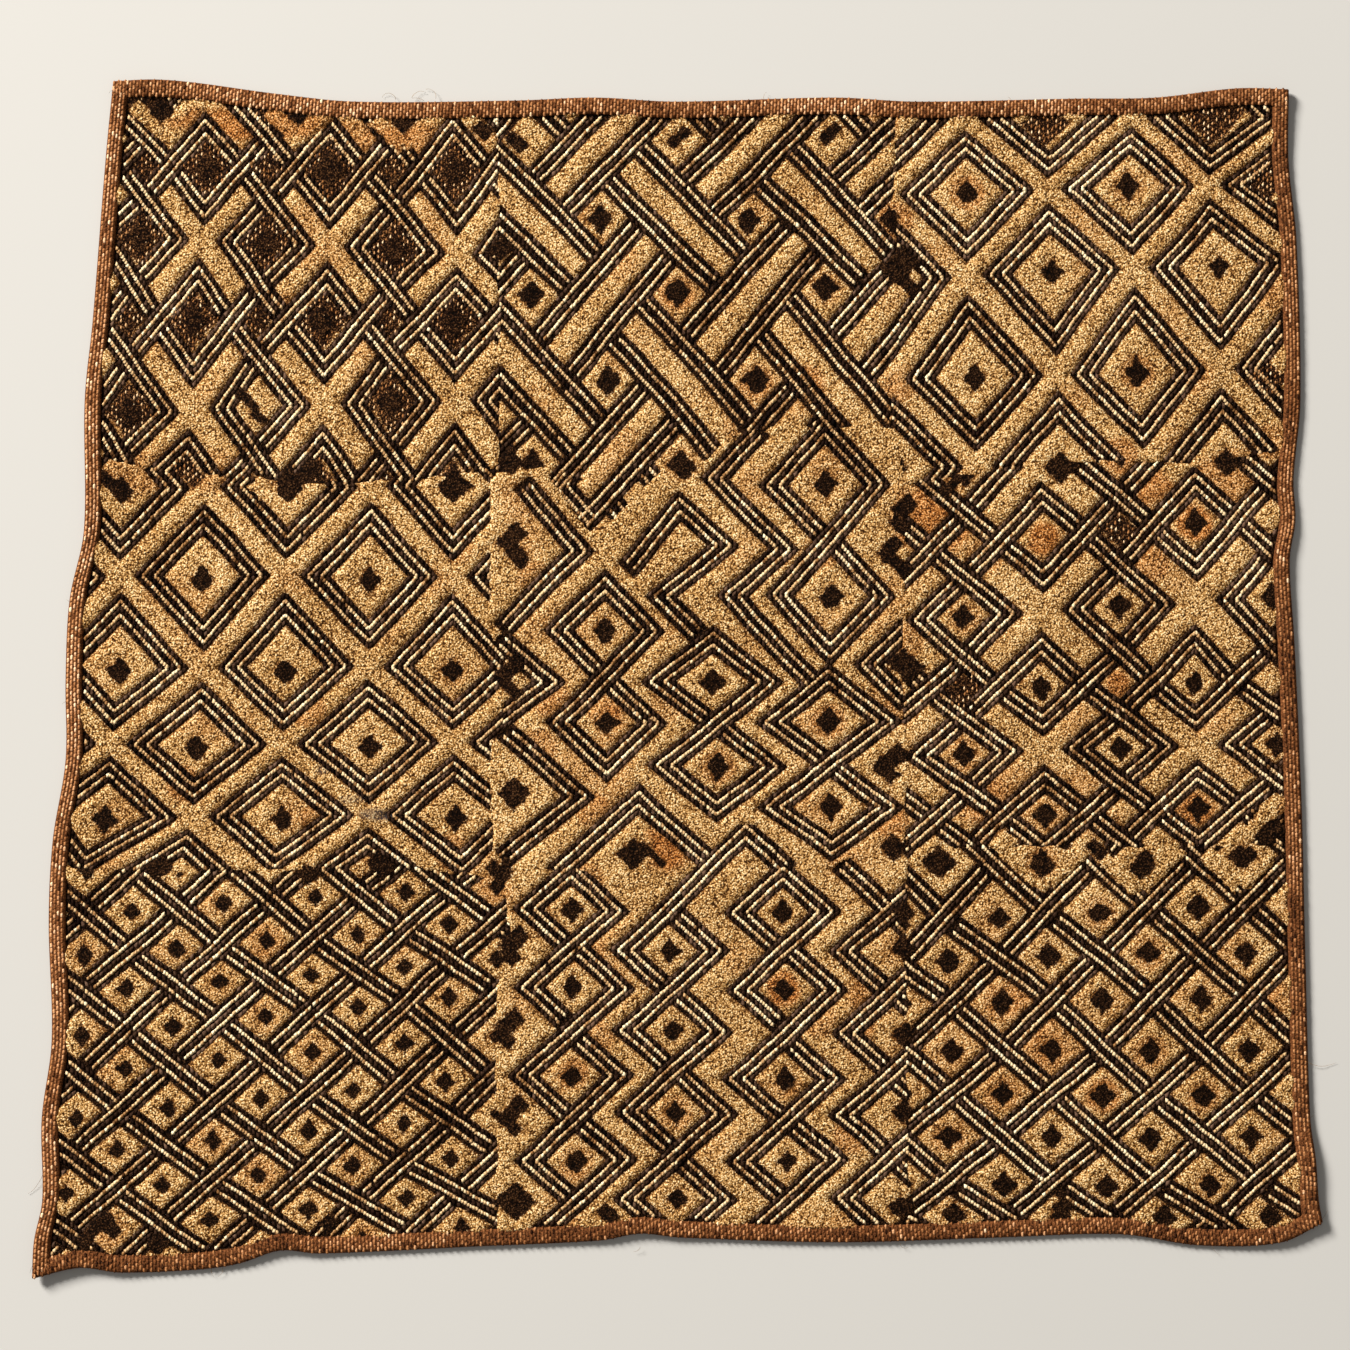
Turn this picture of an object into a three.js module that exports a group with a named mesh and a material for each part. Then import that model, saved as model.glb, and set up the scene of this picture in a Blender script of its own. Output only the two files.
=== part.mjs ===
// A Kuba raffia cloth lying flat: one woven panel, embroidered over its whole face with cords
// and cut pile, its four edges folded to the front and sewn down as a hem.
// Millimetres. +X runs to the right of the design, +Y to its top edge and +Z up from the floor.
import * as THREE from 'three';

// Heights above the underside.
const GROUND_TOP = 1.6;
const PILE_RISE = 0.9;
const HEM_TOP = 3.0;
const FOLD_MIDDLE = 1.5;

// Sizes seen from above.
const HEM_WIDTH = 7.4;
const HEM_STEP = 1.4;
const FOLD_RUN = 1.2;
const FOLD_UNDERCUT = 0.9;
const LIFT_RUN = 20;
const BLOCK_BLEND = 6;

// Cells of the upper face. One cell of the underside spans COARSE of them each way.
const CELLS_ACROSS = 72;
const CELLS_UP = 68;
const COARSE = 4;

// Where the cloth's edges run, each from its lower or left end. They wander as a hand-cut edge does.
const BOTTOM_EDGE = [
  { x: -306.1, y: -284.5 },
  { x: -283.8, y: -279.3 },
  { x: -264.8, y: -281.7 },
  { x: -226.8, y: -280.3 },
  { x: -207.8, y: -277.4 },
  { x: -188.8, y: -271.2 },
  { x: -169.8, y: -272.7 },
  { x: -93.8, y: -269.3 },
  { x: -36.8, y: -266.5 },
  { x: -17.8, y: -263.2 },
  { x: 1.2, y: -265.1 },
  { x: 77.2, y: -267.4 },
  { x: 153.2, y: -265.1 },
  { x: 210.2, y: -263.6 },
  { x: 248.2, y: -268.9 },
  { x: 286.2, y: -267.4 },
  { x: 306.1, y: -257.9 },
];
const TOP_EDGE = [
  { x: -267.7, y: 283.6 },
  { x: -248.2, y: 284.5 },
  { x: -229.2, y: 283.1 },
  { x: -191.2, y: 277.9 },
  { x: -153.2, y: 274.1 },
  { x: -77.2, y: 274.6 },
  { x: -39.2, y: 276.0 },
  { x: -1.2, y: 274.1 },
  { x: 74.8, y: 276.0 },
  { x: 112.8, y: 274.1 },
  { x: 188.8, y: 275.5 },
  { x: 226.8, y: 276.0 },
  { x: 264.8, y: 280.3 },
  { x: 290.0, y: 279.8 },
];
const LEFT_EDGE = [
  { y: -284.5, x: -306.1 },
  { y: -266.5, x: -305.2 },
  { y: -247.5, x: -301.4 },
  { y: -209.5, x: -301.9 },
  { y: -171.5, x: -297.1 },
  { y: -114.5, x: -298.5 },
  { y: -76.5, x: -296.6 },
  { y: -38.5, x: -290.5 },
  { y: -0.5, x: -290.5 },
  { y: 37.5, x: -288.6 },
  { y: 70.8, x: -281.6 },
  { y: 132.5, x: -281.4 },
  { y: 170.5, x: -277.6 },
  { y: 246.5, x: -271.5 },
  { y: 283.6, x: -267.7 },
];
const RIGHT_EDGE = [
  { y: -257.9, x: 306.1 },
  { y: -247.5, x: 304.2 },
  { y: -228.5, x: 302.8 },
  { y: -209.5, x: 300.4 },
  { y: -133.5, x: 298.1 },
  { y: -57.5, x: 296.2 },
  { y: 18.5, x: 292.8 },
  { y: 56.5, x: 290.5 },
  { y: 75.5, x: 293.3 },
  { y: 94.5, x: 292.4 },
  { y: 132.5, x: 295.7 },
  { y: 208.5, x: 293.8 },
  { y: 246.5, x: 290.0 },
  { y: 279.8, x: 290.0 },
];

// Places where the hem curls a little off the floor.
const RIPPLES = [
  { x: -303, y: -276, reach: 62, lift: 2.4 },
  { x: 304, y: -258, reach: 50, lift: 1.8 },
  { x: 302, y: -226, reach: 26, lift: 1.6 },
  { x: -189, y: -271, reach: 34, lift: 1.1 },
  { x: -18, y: -263, reach: 40, lift: 1.0 },
  { x: -283, y: 84, reach: 60, lift: 1.5 },
  { x: -268, y: 284, reach: 46, lift: 1.3 },
  { x: 290, y: 280, reach: 44, lift: 1.2 },
  { x: 291, y: 57, reach: 40, lift: 0.9 },
];

// The embroidered blocks. Each holds a lattice of diamonds about (x, y), at its own pitches.
// heart, ring and bar are the pile's share of its full height at a diamond's middle, in the
// cords round it and on the lattice between. A block with a swing has columns parted by a
// zigzag in place of the lattice.
const BLOCK_TABLE = [
  ['left', 'right', 'low', 'high', 'x', 'y', 'pitchX', 'pitchY', 'heart', 'ring', 'bar', 'swing'],
  [-320, -82, 94, 300, -195.0, 207.0, 58.9, 72.0, 0.3, 0.2, 1.0, 0],
  [-320, -82, -91, 94, -186.4, 3.8, 78.9, 75.4, 0.6, 0.1, 1.0, 0],
  [-320, -82, -300, -91, -218.3, -182.4, 44.2, 38.0, 0.9, 0.4, 0.2, 0],
  [-82, 108, 99, 300, -0.2, 181.5, 69.8, 74.6, 0.8, 0.1, 1.0, 0],
  [-82, 108, -72, 99, 16.9, -1.0, 52.3, 40.4, 0.7, 0.1, 1.0, 11],
  [-82, 108, -300, -72, -2.6, -129.2, 52.7, 38.5, 0.7, 0.1, 1.0, 11],
  [108, 320, 90, 300, 176.9, 192.4, 78.4, 85.5, 0.6, 0.1, 1.0, 0],
  [108, 320, -72, 90, 172.7, -4.8, 73.6, 65.6, 0.8, 0.2, 0.9, 0],
  [108, 320, -300, -72, 177.4, -177.2, 48.0, 42.3, 0.9, 0.4, 0.2, 0],
];
const [BLOCK_COLUMNS, ...BLOCK_ROWS] = BLOCK_TABLE;
const BLOCKS = BLOCK_ROWS.map((row) => Object.fromEntries(BLOCK_COLUMNS.map((name, i) => [name, row[i]])));

const { lerp, smoothstep, clamp } = THREE.MathUtils;

// A smooth curve through the rows of a table: the column `out` at the place `at` of the column `along`.
function readCurve(rows, along, out, at) {
  const last = rows.length - 1;
  let i = 0;
  while (i < last - 1 && at > rows[i + 1][along]) i += 1;
  const slopeAt = (k) => {
    const before = rows[Math.max(k - 1, 0)];
    const after = rows[Math.min(k + 1, last)];
    return (after[out] - before[out]) / (after[along] - before[along]);
  };
  const run = rows[i + 1][along] - rows[i][along];
  const f = clamp((at - rows[i][along]) / run, 0, 1);
  const g = 1 - f;
  return (
    g * g * (1 + 2 * f) * rows[i][out] +
    f * f * (1 + 2 * g) * rows[i + 1][out] +
    run * f * g * (g * slopeAt(i) - f * slopeAt(i + 1))
  );
}

const CORNERS = {
  bottomLeft: BOTTOM_EDGE[0],
  bottomRight: BOTTOM_EDGE[BOTTOM_EDGE.length - 1],
  topLeft: TOP_EDGE[0],
  topRight: TOP_EDGE[TOP_EDGE.length - 1],
};
const WIDTH = lerp(
  CORNERS.bottomRight.x - CORNERS.bottomLeft.x,
  CORNERS.topRight.x - CORNERS.topLeft.x,
  0.5,
);
const LENGTH = lerp(
  CORNERS.topLeft.y - CORNERS.bottomLeft.y,
  CORNERS.topRight.y - CORNERS.bottomRight.y,
  0.5,
);

// The point a share s across and a share t up the cloth, so that all four edges are met.
function placeOn(s, t) {
  const { bottomLeft, bottomRight, topLeft, topRight } = CORNERS;
  const bottomX = lerp(bottomLeft.x, bottomRight.x, s);
  const topX = lerp(topLeft.x, topRight.x, s);
  const leftY = lerp(bottomLeft.y, topLeft.y, t);
  const rightY = lerp(bottomRight.y, topRight.y, t);
  const flatX = lerp(bottomX, topX, t);
  const flatY = lerp(leftY, rightY, s);
  const leftX = readCurve(LEFT_EDGE, 'y', 'x', leftY);
  const rightX = readCurve(RIGHT_EDGE, 'y', 'x', rightY);
  const bottomY = readCurve(BOTTOM_EDGE, 'x', 'y', bottomX);
  const topY = readCurve(TOP_EDGE, 'x', 'y', topX);
  const straightLeftX = lerp(bottomLeft.x, topLeft.x, t);
  const straightRightX = lerp(bottomRight.x, topRight.x, t);
  const straightBottomY = lerp(bottomLeft.y, bottomRight.y, s);
  const straightTopY = lerp(topLeft.y, topRight.y, s);
  return {
    x: flatX + lerp(leftX - straightLeftX, rightX - straightRightX, s),
    y: flatY + lerp(bottomY - straightBottomY, topY - straightTopY, t),
  };
}

// How far in from the nearest edge a share point lies.
function marginAt(s, t) {
  return Math.min(s * WIDTH, (1 - s) * WIDTH, t * LENGTH, (1 - t) * LENGTH);
}

// A triangle wave from -1 to 1, at 0 where turn is whole.
function zigzag(turn) {
  const part = turn - Math.floor(turn);
  return part < 0.25 ? 4 * part : part < 0.75 ? 2 - 4 * part : 4 * part - 4;
}

// Pile height of one block's lattice, as a share of the full pile.
function latticeRise(block, x, y) {
  const across = (x - block.x) / block.pitchX;
  const up = (y - block.y) / block.pitchY;
  let reach;
  if (block.swing > 0) {
    const column = across - (block.swing / block.pitchX) * zigzag(up);
    reach = 2 * Math.abs(column - Math.round(column));
  } else {
    const rising = across + up;
    const falling = across - up;
    const offRising = Math.abs(rising - Math.round(rising));
    const offFalling = Math.abs(falling - Math.round(falling));
    reach = 2 * Math.max(offRising, offFalling);
  }
  const outward = lerp(block.ring, block.bar, smoothstep(reach, 0.5, 0.9));
  return lerp(block.heart, outward, smoothstep(reach, 0.1, 0.45));
}

// How much a block counts at a point: fully inside it, fading out over its rim.
function blockWeight(block, x, y) {
  const inX = smoothstep(Math.min(x - block.left, block.right - x), -BLOCK_BLEND, BLOCK_BLEND);
  const inY = smoothstep(Math.min(y - block.low, block.high - y), -BLOCK_BLEND, BLOCK_BLEND);
  return inX * inY;
}

function pileAt(x, y) {
  let height = 0;
  let weight = 0;
  for (const block of BLOCKS) {
    const share = blockWeight(block, x, y);
    if (share === 0) continue;
    height += share * latticeRise(block, x, y);
    weight += share;
  }
  return weight > 0 ? (PILE_RISE * height) / weight : 0;
}

// How far the cloth's edge stands off the floor, gone at LIFT_RUN from the edge.
function liftAt(x, y, margin) {
  const near = clamp(1 - margin / LIFT_RUN, 0, 1);
  let lift = 0;
  for (const ripple of RIPPLES) {
    const away = Math.hypot(x - ripple.x, y - ripple.y);
    lift += ripple.lift * (1 - smoothstep(away, 0, ripple.reach));
  }
  return lift * near;
}

// Thickness: a rounded fold at the very edge, the doubled hem, then the embroidered face.
function thicknessAt(x, y, margin) {
  const face = GROUND_TOP + pileAt(x, y);
  if (margin < FOLD_RUN) return lerp(FOLD_MIDDLE, HEM_TOP, margin / FOLD_RUN);
  return lerp(HEM_TOP, face, smoothstep(margin, HEM_WIDTH, HEM_WIDTH + HEM_STEP));
}

// Shares of a side at which the upper face has its lines: close along the hem, even between.
function faceLines(length, cells) {
  const hem = [0, FOLD_RUN, HEM_WIDTH / 2, HEM_WIDTH, HEM_WIDTH + HEM_STEP].map((d) => d / length);
  const inner = hem[hem.length - 1];
  const between = cells - 2 * (hem.length - 1);
  const lines = [...hem];
  for (let i = 1; i < between; i += 1) lines.push(lerp(inner, 1 - inner, i / between));
  return lines.concat(hem.map((share) => 1 - share).reverse());
}

function buildCloth() {
  const positions = [];
  const indices = [];
  const acrossLines = faceLines(WIDTH, CELLS_ACROSS);
  const upLines = faceLines(LENGTH, CELLS_UP);

  const addPoint = (x, y, z) => {
    positions.push(x, y, z);
    return positions.length / 3 - 1;
  };
  const addTriangle = (a, b, c) => indices.push(a, b, c);

  // Upper face, its cells split along alternate diagonals so that ridges both ways keep their line.
  const face = upLines.map((t) =>
    acrossLines.map((s) => {
      const { x, y } = placeOn(s, t);
      const margin = marginAt(s, t);
      return addPoint(x, y, liftAt(x, y, margin) + thicknessAt(x, y, margin));
    }),
  );
  for (let j = 0; j < CELLS_UP; j += 1) {
    for (let i = 0; i < CELLS_ACROSS; i += 1) {
      const a = face[j][i];
      const b = face[j][i + 1];
      const c = face[j + 1][i + 1];
      const d = face[j + 1][i];
      if ((i + j) % 2 === 0) {
        addTriangle(a, b, c);
        addTriangle(a, c, d);
      } else {
        addTriangle(a, b, d);
        addTriangle(b, c, d);
      }
    }
  }

  // The rim's outermost line, walked anticlockwise as seen from above.
  const walk = [];
  for (let i = 0; i < CELLS_ACROSS; i += 1) walk.push({ i, j: 0 });
  for (let j = 0; j < CELLS_UP; j += 1) walk.push({ i: CELLS_ACROSS, j });
  for (let i = CELLS_ACROSS; i > 0; i -= 1) walk.push({ i, j: CELLS_UP });
  for (let j = CELLS_UP; j > 0; j -= 1) walk.push({ i: 0, j });

  // The rim's lower line is drawn in under the rounded fold.
  const tuckX = FOLD_UNDERCUT / WIDTH;
  const tuckY = FOLD_UNDERCUT / LENGTH;
  const lowerRim = walk.map(({ i, j }) => {
    const s = lerp(tuckX, 1 - tuckX, acrossLines[i]);
    const t = lerp(tuckY, 1 - tuckY, upLines[j]);
    const { x, y } = placeOn(s, t);
    return addPoint(x, y, liftAt(x, y, marginAt(s, t)));
  });
  walk.forEach(({ i, j }, k) => {
    const next = (k + 1) % walk.length;
    const upper = face[j][i];
    const upperNext = face[walk[next].j][walk[next].i];
    addTriangle(lowerRim[k], lowerRim[next], upperNext);
    addTriangle(lowerRim[k], upperNext, upper);
  });

  // The underside lies on the floor from LIFT_RUN inwards.
  const coarseAcross = CELLS_ACROSS / COARSE;
  const coarseUp = CELLS_UP / COARSE;
  const insetX = LIFT_RUN / WIDTH;
  const insetY = LIFT_RUN / LENGTH;
  const floor = [];
  for (let j = 0; j <= coarseUp; j += 1) {
    const row = [];
    for (let i = 0; i <= coarseAcross; i += 1) {
      const s = lerp(insetX, 1 - insetX, acrossLines[i * COARSE]);
      const t = lerp(insetY, 1 - insetY, upLines[j * COARSE]);
      const { x, y } = placeOn(s, t);
      row.push(addPoint(x, y, 0));
    }
    floor.push(row);
  }
  for (let j = 0; j < coarseUp; j += 1) {
    for (let i = 0; i < coarseAcross; i += 1) {
      addTriangle(floor[j][i], floor[j + 1][i + 1], floor[j][i + 1]);
      addTriangle(floor[j][i], floor[j + 1][i], floor[j + 1][i + 1]);
    }
  }

  // Between the floor patch and the rim, each coarse step meets COARSE fine ones.
  for (let k = 0; k < walk.length; k += COARSE) {
    const after = (k + COARSE) % walk.length;
    const inner = floor[walk[k].j / COARSE][walk[k].i / COARSE];
    const innerNext = floor[walk[after].j / COARSE][walk[after].i / COARSE];
    const middle = k + COARSE / 2;
    for (let m = k; m < k + COARSE; m += 1) {
      const hub = m < middle ? inner : innerNext;
      addTriangle(hub, lowerRim[(m + 1) % walk.length], lowerRim[m]);
    }
    addTriangle(inner, innerNext, lowerRim[middle]);
  }

  const geometry = new THREE.BufferGeometry();
  geometry.setAttribute('position', new THREE.Float32BufferAttribute(positions, 3));
  geometry.setIndex(indices);
  geometry.computeBoundingBox();
  const middle = geometry.boundingBox.getCenter(new THREE.Vector3());
  geometry.translate(-middle.x, -middle.y, -geometry.boundingBox.min.z);
  geometry.computeVertexNormals();
  return geometry;
}

const raffia = new THREE.MeshStandardMaterial({ color: 0x8a6a45, roughness: 0.85, metalness: 0 });
const cloth = new THREE.Mesh(buildCloth(), raffia);
cloth.name = 'cloth';

const clothOnFloor = new THREE.Group();
clothOnFloor.add(cloth);

export default clothOnFloor;
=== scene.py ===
"""A Kuba raffia cloth laid flat: a woven panel, its hem folded to the front, with cords and cut pile."""

import logging
import math
from collections.abc import Iterator, Mapping, Sequence
from dataclasses import dataclass, field
from enum import Enum

import bpy
import numpy as np
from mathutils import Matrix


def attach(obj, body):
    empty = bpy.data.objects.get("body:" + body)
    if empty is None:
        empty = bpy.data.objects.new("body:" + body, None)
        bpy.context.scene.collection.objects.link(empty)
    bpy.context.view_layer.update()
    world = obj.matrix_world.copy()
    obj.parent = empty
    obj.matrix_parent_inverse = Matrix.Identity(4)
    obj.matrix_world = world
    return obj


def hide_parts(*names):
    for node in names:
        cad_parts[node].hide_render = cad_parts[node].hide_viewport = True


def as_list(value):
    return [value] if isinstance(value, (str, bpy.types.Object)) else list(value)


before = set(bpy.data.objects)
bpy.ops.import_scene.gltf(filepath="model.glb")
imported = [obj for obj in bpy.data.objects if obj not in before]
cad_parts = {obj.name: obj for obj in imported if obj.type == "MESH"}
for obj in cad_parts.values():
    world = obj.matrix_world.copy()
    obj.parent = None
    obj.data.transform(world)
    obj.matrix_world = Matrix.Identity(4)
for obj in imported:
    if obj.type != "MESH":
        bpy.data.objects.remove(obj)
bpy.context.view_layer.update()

logging.basicConfig(level=logging.INFO, format="%(message)s")
report = logging.getLogger("kuba_cloth")

METRES = 0.001  # one millimetre
BODY = "root"
NODE = "cloth"

Array = np.ndarray
Route = Sequence[tuple[float, float]]

# The design's places are read on a plan whose steps are 0.475 mm, from its top left corner.
PLAN_STEP = 0.475
PLAN_MIDDLE = (677.5, 679.0)

# Edges of the cloth, as in the CAD solid: (place along the edge, how far out it runs), millimetres.
BOTTOM_EDGE = (
    (-306.1, -284.5), (-283.8, -279.3), (-264.8, -281.7), (-226.8, -280.3), (-207.8, -277.4),
    (-188.8, -271.2), (-169.8, -272.7), (-93.8, -269.3), (-36.8, -266.5), (-17.8, -263.2),
    (1.2, -265.1), (77.2, -267.4), (153.2, -265.1), (210.2, -263.6), (248.2, -268.9),
    (286.2, -267.4), (306.1, -257.9),
)
TOP_EDGE = (
    (-267.7, 283.6), (-248.2, 284.5), (-229.2, 283.1), (-191.2, 277.9), (-153.2, 274.1),
    (-77.2, 274.6), (-39.2, 276.0), (-1.2, 274.1), (74.8, 276.0), (112.8, 274.1),
    (188.8, 275.5), (226.8, 276.0), (264.8, 280.3), (290.0, 279.8),
)
LEFT_EDGE = (
    (-284.5, -306.1), (-266.5, -305.2), (-247.5, -301.4), (-209.5, -301.9), (-171.5, -297.1),
    (-114.5, -298.5), (-76.5, -296.6), (-38.5, -290.5), (-0.5, -290.5), (37.5, -288.6),
    (70.8, -281.6), (132.5, -281.4), (170.5, -277.6), (246.5, -271.5), (283.6, -267.7),
)
RIGHT_EDGE = (
    (-257.9, 306.1), (-247.5, 304.2), (-228.5, 302.8), (-209.5, 300.4), (-133.5, 298.1),
    (-57.5, 296.2), (18.5, 292.8), (56.5, 290.5), (75.5, 293.3), (94.5, 292.4),
    (132.5, 295.7), (208.5, 293.8), (246.5, 290.0), (279.8, 290.0),
)
# Where the hem curls off the floor: x, y, reach and lift, as in the CAD solid.
RIPPLES = (
    (-303, -276, 62, 2.4), (304, -258, 50, 1.8), (302, -226, 26, 1.6), (-189, -271, 34, 1.1),
    (-18, -263, 40, 1.0), (-283, 84, 60, 1.5), (-268, 284, 46, 1.3), (290, 280, 44, 1.2),
    (291, 57, 40, 0.9),
)
LIFT_RUN = 20.0
NOISE_CELLS = 256
PILE_START = 6.9  # the pile runs on a little under the hem's inner edge
FOLD_UNDERCUT = 0.9


def from_plan(points: object) -> Array:
    """Places on the cloth for places on the plan.

    Args:
        points: (x, y) pairs in plan steps, y downwards.

    Returns:
        The same places in millimetres from the middle of the cloth, y upwards.
    """
    plan = np.asarray(points, dtype=float)
    across = (plan[..., 0] - PLAN_MIDDLE[0]) * PLAN_STEP
    up = (PLAN_MIDDLE[1] - plan[..., 1]) * PLAN_STEP
    return np.stack([across, up], axis=-1)


def smooth(value: Array, low: float, high: float) -> Array:
    """A soft step from 0 at low to 1 at high."""
    share = np.clip((value - low) / (high - low), 0.0, 1.0)
    return share * share * (3.0 - 2.0 * share)


def read_curve(rows: Sequence[tuple[float, float]], at: Array) -> Array:
    """A smooth curve through the rows of a table.

    Args:
        rows: (place, value) pairs in rising order of place.
        at: the places to read.

    Returns:
        The value at each place.
    """
    keys, values = np.array(rows).T
    before = np.maximum(np.arange(len(keys)) - 1, 0)
    after = np.minimum(np.arange(len(keys)) + 1, len(keys) - 1)
    slopes = (values[after] - values[before]) / (keys[after] - keys[before])
    i = np.clip(np.searchsorted(keys, at, side="right") - 1, 0, len(keys) - 2)
    run = keys[i + 1] - keys[i]
    f = np.clip((at - keys[i]) / run, 0.0, 1.0)
    g = 1.0 - f
    ends = g * g * (1 + 2 * f) * values[i] + f * f * (1 + 2 * g) * values[i + 1]
    return ends + run * f * g * (g * slopes[i] - f * slopes[i + 1])


def read_line(keys: Array, values: Array, at: Array) -> Array:
    """Straight runs through a table, carried on past both its ends.

    Args:
        keys: rising places.
        values: the value at each place.
        at: the places to read.

    Returns:
        The value at each place.
    """
    i = np.clip(np.searchsorted(keys, at, side="right") - 1, 0, len(keys) - 2)
    share = (at - keys[i]) / (keys[i + 1] - keys[i])
    return values[i] + share * (values[i + 1] - values[i])


def noise(x: Array, y: Array, *layers: tuple[float, int, float]) -> Array:
    """Smooth random unevenness, the same on every run.

    Args:
        x: places across.
        y: places up.
        layers: each layer's strength, seed and size of lumps.

    Returns:
        The sum of the layers, each between its strength and its opposite.
    """
    total = 0.0
    for strength, seed, size in layers:
        table = np.random.default_rng(seed).uniform(-1.0, 1.0, (NOISE_CELLS, NOISE_CELLS))
        gx = np.asarray(x) / size + 77.3
        gy = np.asarray(y) / size + 41.9
        ix = np.floor(gx).astype(int)
        iy = np.floor(gy).astype(int)
        fx = smooth(gx - ix, 0.0, 1.0)
        fy = smooth(gy - iy, 0.0, 1.0)
        x0, x1 = ix % NOISE_CELLS, (ix + 1) % NOISE_CELLS
        y0, y1 = iy % NOISE_CELLS, (iy + 1) % NOISE_CELLS
        lower = table[y0, x0] * (1 - fx) + table[y0, x1] * fx
        upper = table[y1, x0] * (1 - fx) + table[y1, x1] * fx
        total = total + strength * (lower * (1 - fy) + upper * fy)
    return total


def hand_drift(x: Array, y: Array) -> tuple[Array, Array]:
    """How far a hand's drawing strays from its plan at x, y, in millimetres."""
    return noise(x, y, (0.9, 11, 46.0), (0.35, 12, 13.0)), noise(x, y, (0.9, 13, 46.0), (0.35, 14, 13.0))


@dataclass(frozen=True)
class ClothOutline:
    """The cloth's four wandering edges and what lies between them."""

    width: float = (612.2 + 557.7) / 2
    length: float = (568.1 + 537.7) / 2

    def place(self, s: Array, t: Array) -> tuple[Array, Array]:
        """The point a share s across and t up the cloth, so that all four edges are met."""
        (x0, y0), (x1, y1) = BOTTOM_EDGE[0], BOTTOM_EDGE[-1]
        (x2, y2), (x3, y3) = TOP_EDGE[0], TOP_EDGE[-1]
        low_x, top_x = x0 + s * (x1 - x0), x2 + s * (x3 - x2)
        left_y, right_y = y0 + t * (y2 - y0), y1 + t * (y3 - y1)
        bow_left = read_curve(LEFT_EDGE, left_y) - (x0 + t * (x2 - x0))
        bow_right = read_curve(RIGHT_EDGE, right_y) - (x1 + t * (x3 - x1))
        bow_low = read_curve(BOTTOM_EDGE, low_x) - (y0 + s * (y1 - y0))
        bow_top = read_curve(TOP_EDGE, top_x) - (y2 + s * (y3 - y2))
        x = low_x + t * (top_x - low_x) + bow_left + s * (bow_right - bow_left)
        y = left_y + s * (right_y - left_y) + bow_low + t * (bow_top - bow_low)
        return x, y

    def shares(self, inset: float, columns: int, rows: int) -> tuple[Array, Array]:
        """Even shares across and up the cloth, from one inset to the other."""
        s, t = inset / self.width, inset / self.length
        return np.linspace(s, 1 - s, columns + 1), np.linspace(t, 1 - t, rows + 1)

    def margin(self, s: Array, t: Array) -> Array:
        """How far in from the nearest edge a share point lies."""
        across = np.minimum(s, 1 - s) * self.width
        up = np.minimum(t, 1 - t) * self.length
        return np.minimum(across, up)

    def inside(self, x: Array, y: Array) -> Array:
        """How far in from the nearest edge the point x, y lies."""
        across = np.minimum(x - read_curve(LEFT_EDGE, y), read_curve(RIGHT_EDGE, y) - x)
        up = np.minimum(y - read_curve(BOTTOM_EDGE, x), read_curve(TOP_EDGE, x) - y)
        return np.minimum(across, up)

    def lift(self, x: Array, y: Array, margin: Array) -> Array:
        """How far the cloth stands off the floor, gone at LIFT_RUN from the edge."""
        total = np.zeros(np.shape(x))
        for ripple_x, ripple_y, reach, lift in RIPPLES:
            away = np.hypot(x - ripple_x, y - ripple_y)
            total += lift * (1.0 - smooth(away, 0.0, reach))
        return total * np.clip(1.0 - margin / LIFT_RUN, 0.0, 1.0)

    def lift_at(self, x: Array, y: Array) -> Array:
        """The lift at points whose margin isn't known."""
        return self.lift(x, y, self.inside(x, y))


OUTLINE = ClothOutline()


# Meshes made from arrays.


def unit(ways: Array) -> Array:
    """Directions of length 1."""
    return ways / np.linalg.norm(ways, axis=1, keepdims=True)


def cross_section(along: Array) -> tuple[Array, Array]:
    """The sideways and the upward direction about each length of raffia."""
    side = unit(np.cross(np.array([0.0, 0.0, 1.0]), along))
    return side, np.cross(along, side)


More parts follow.
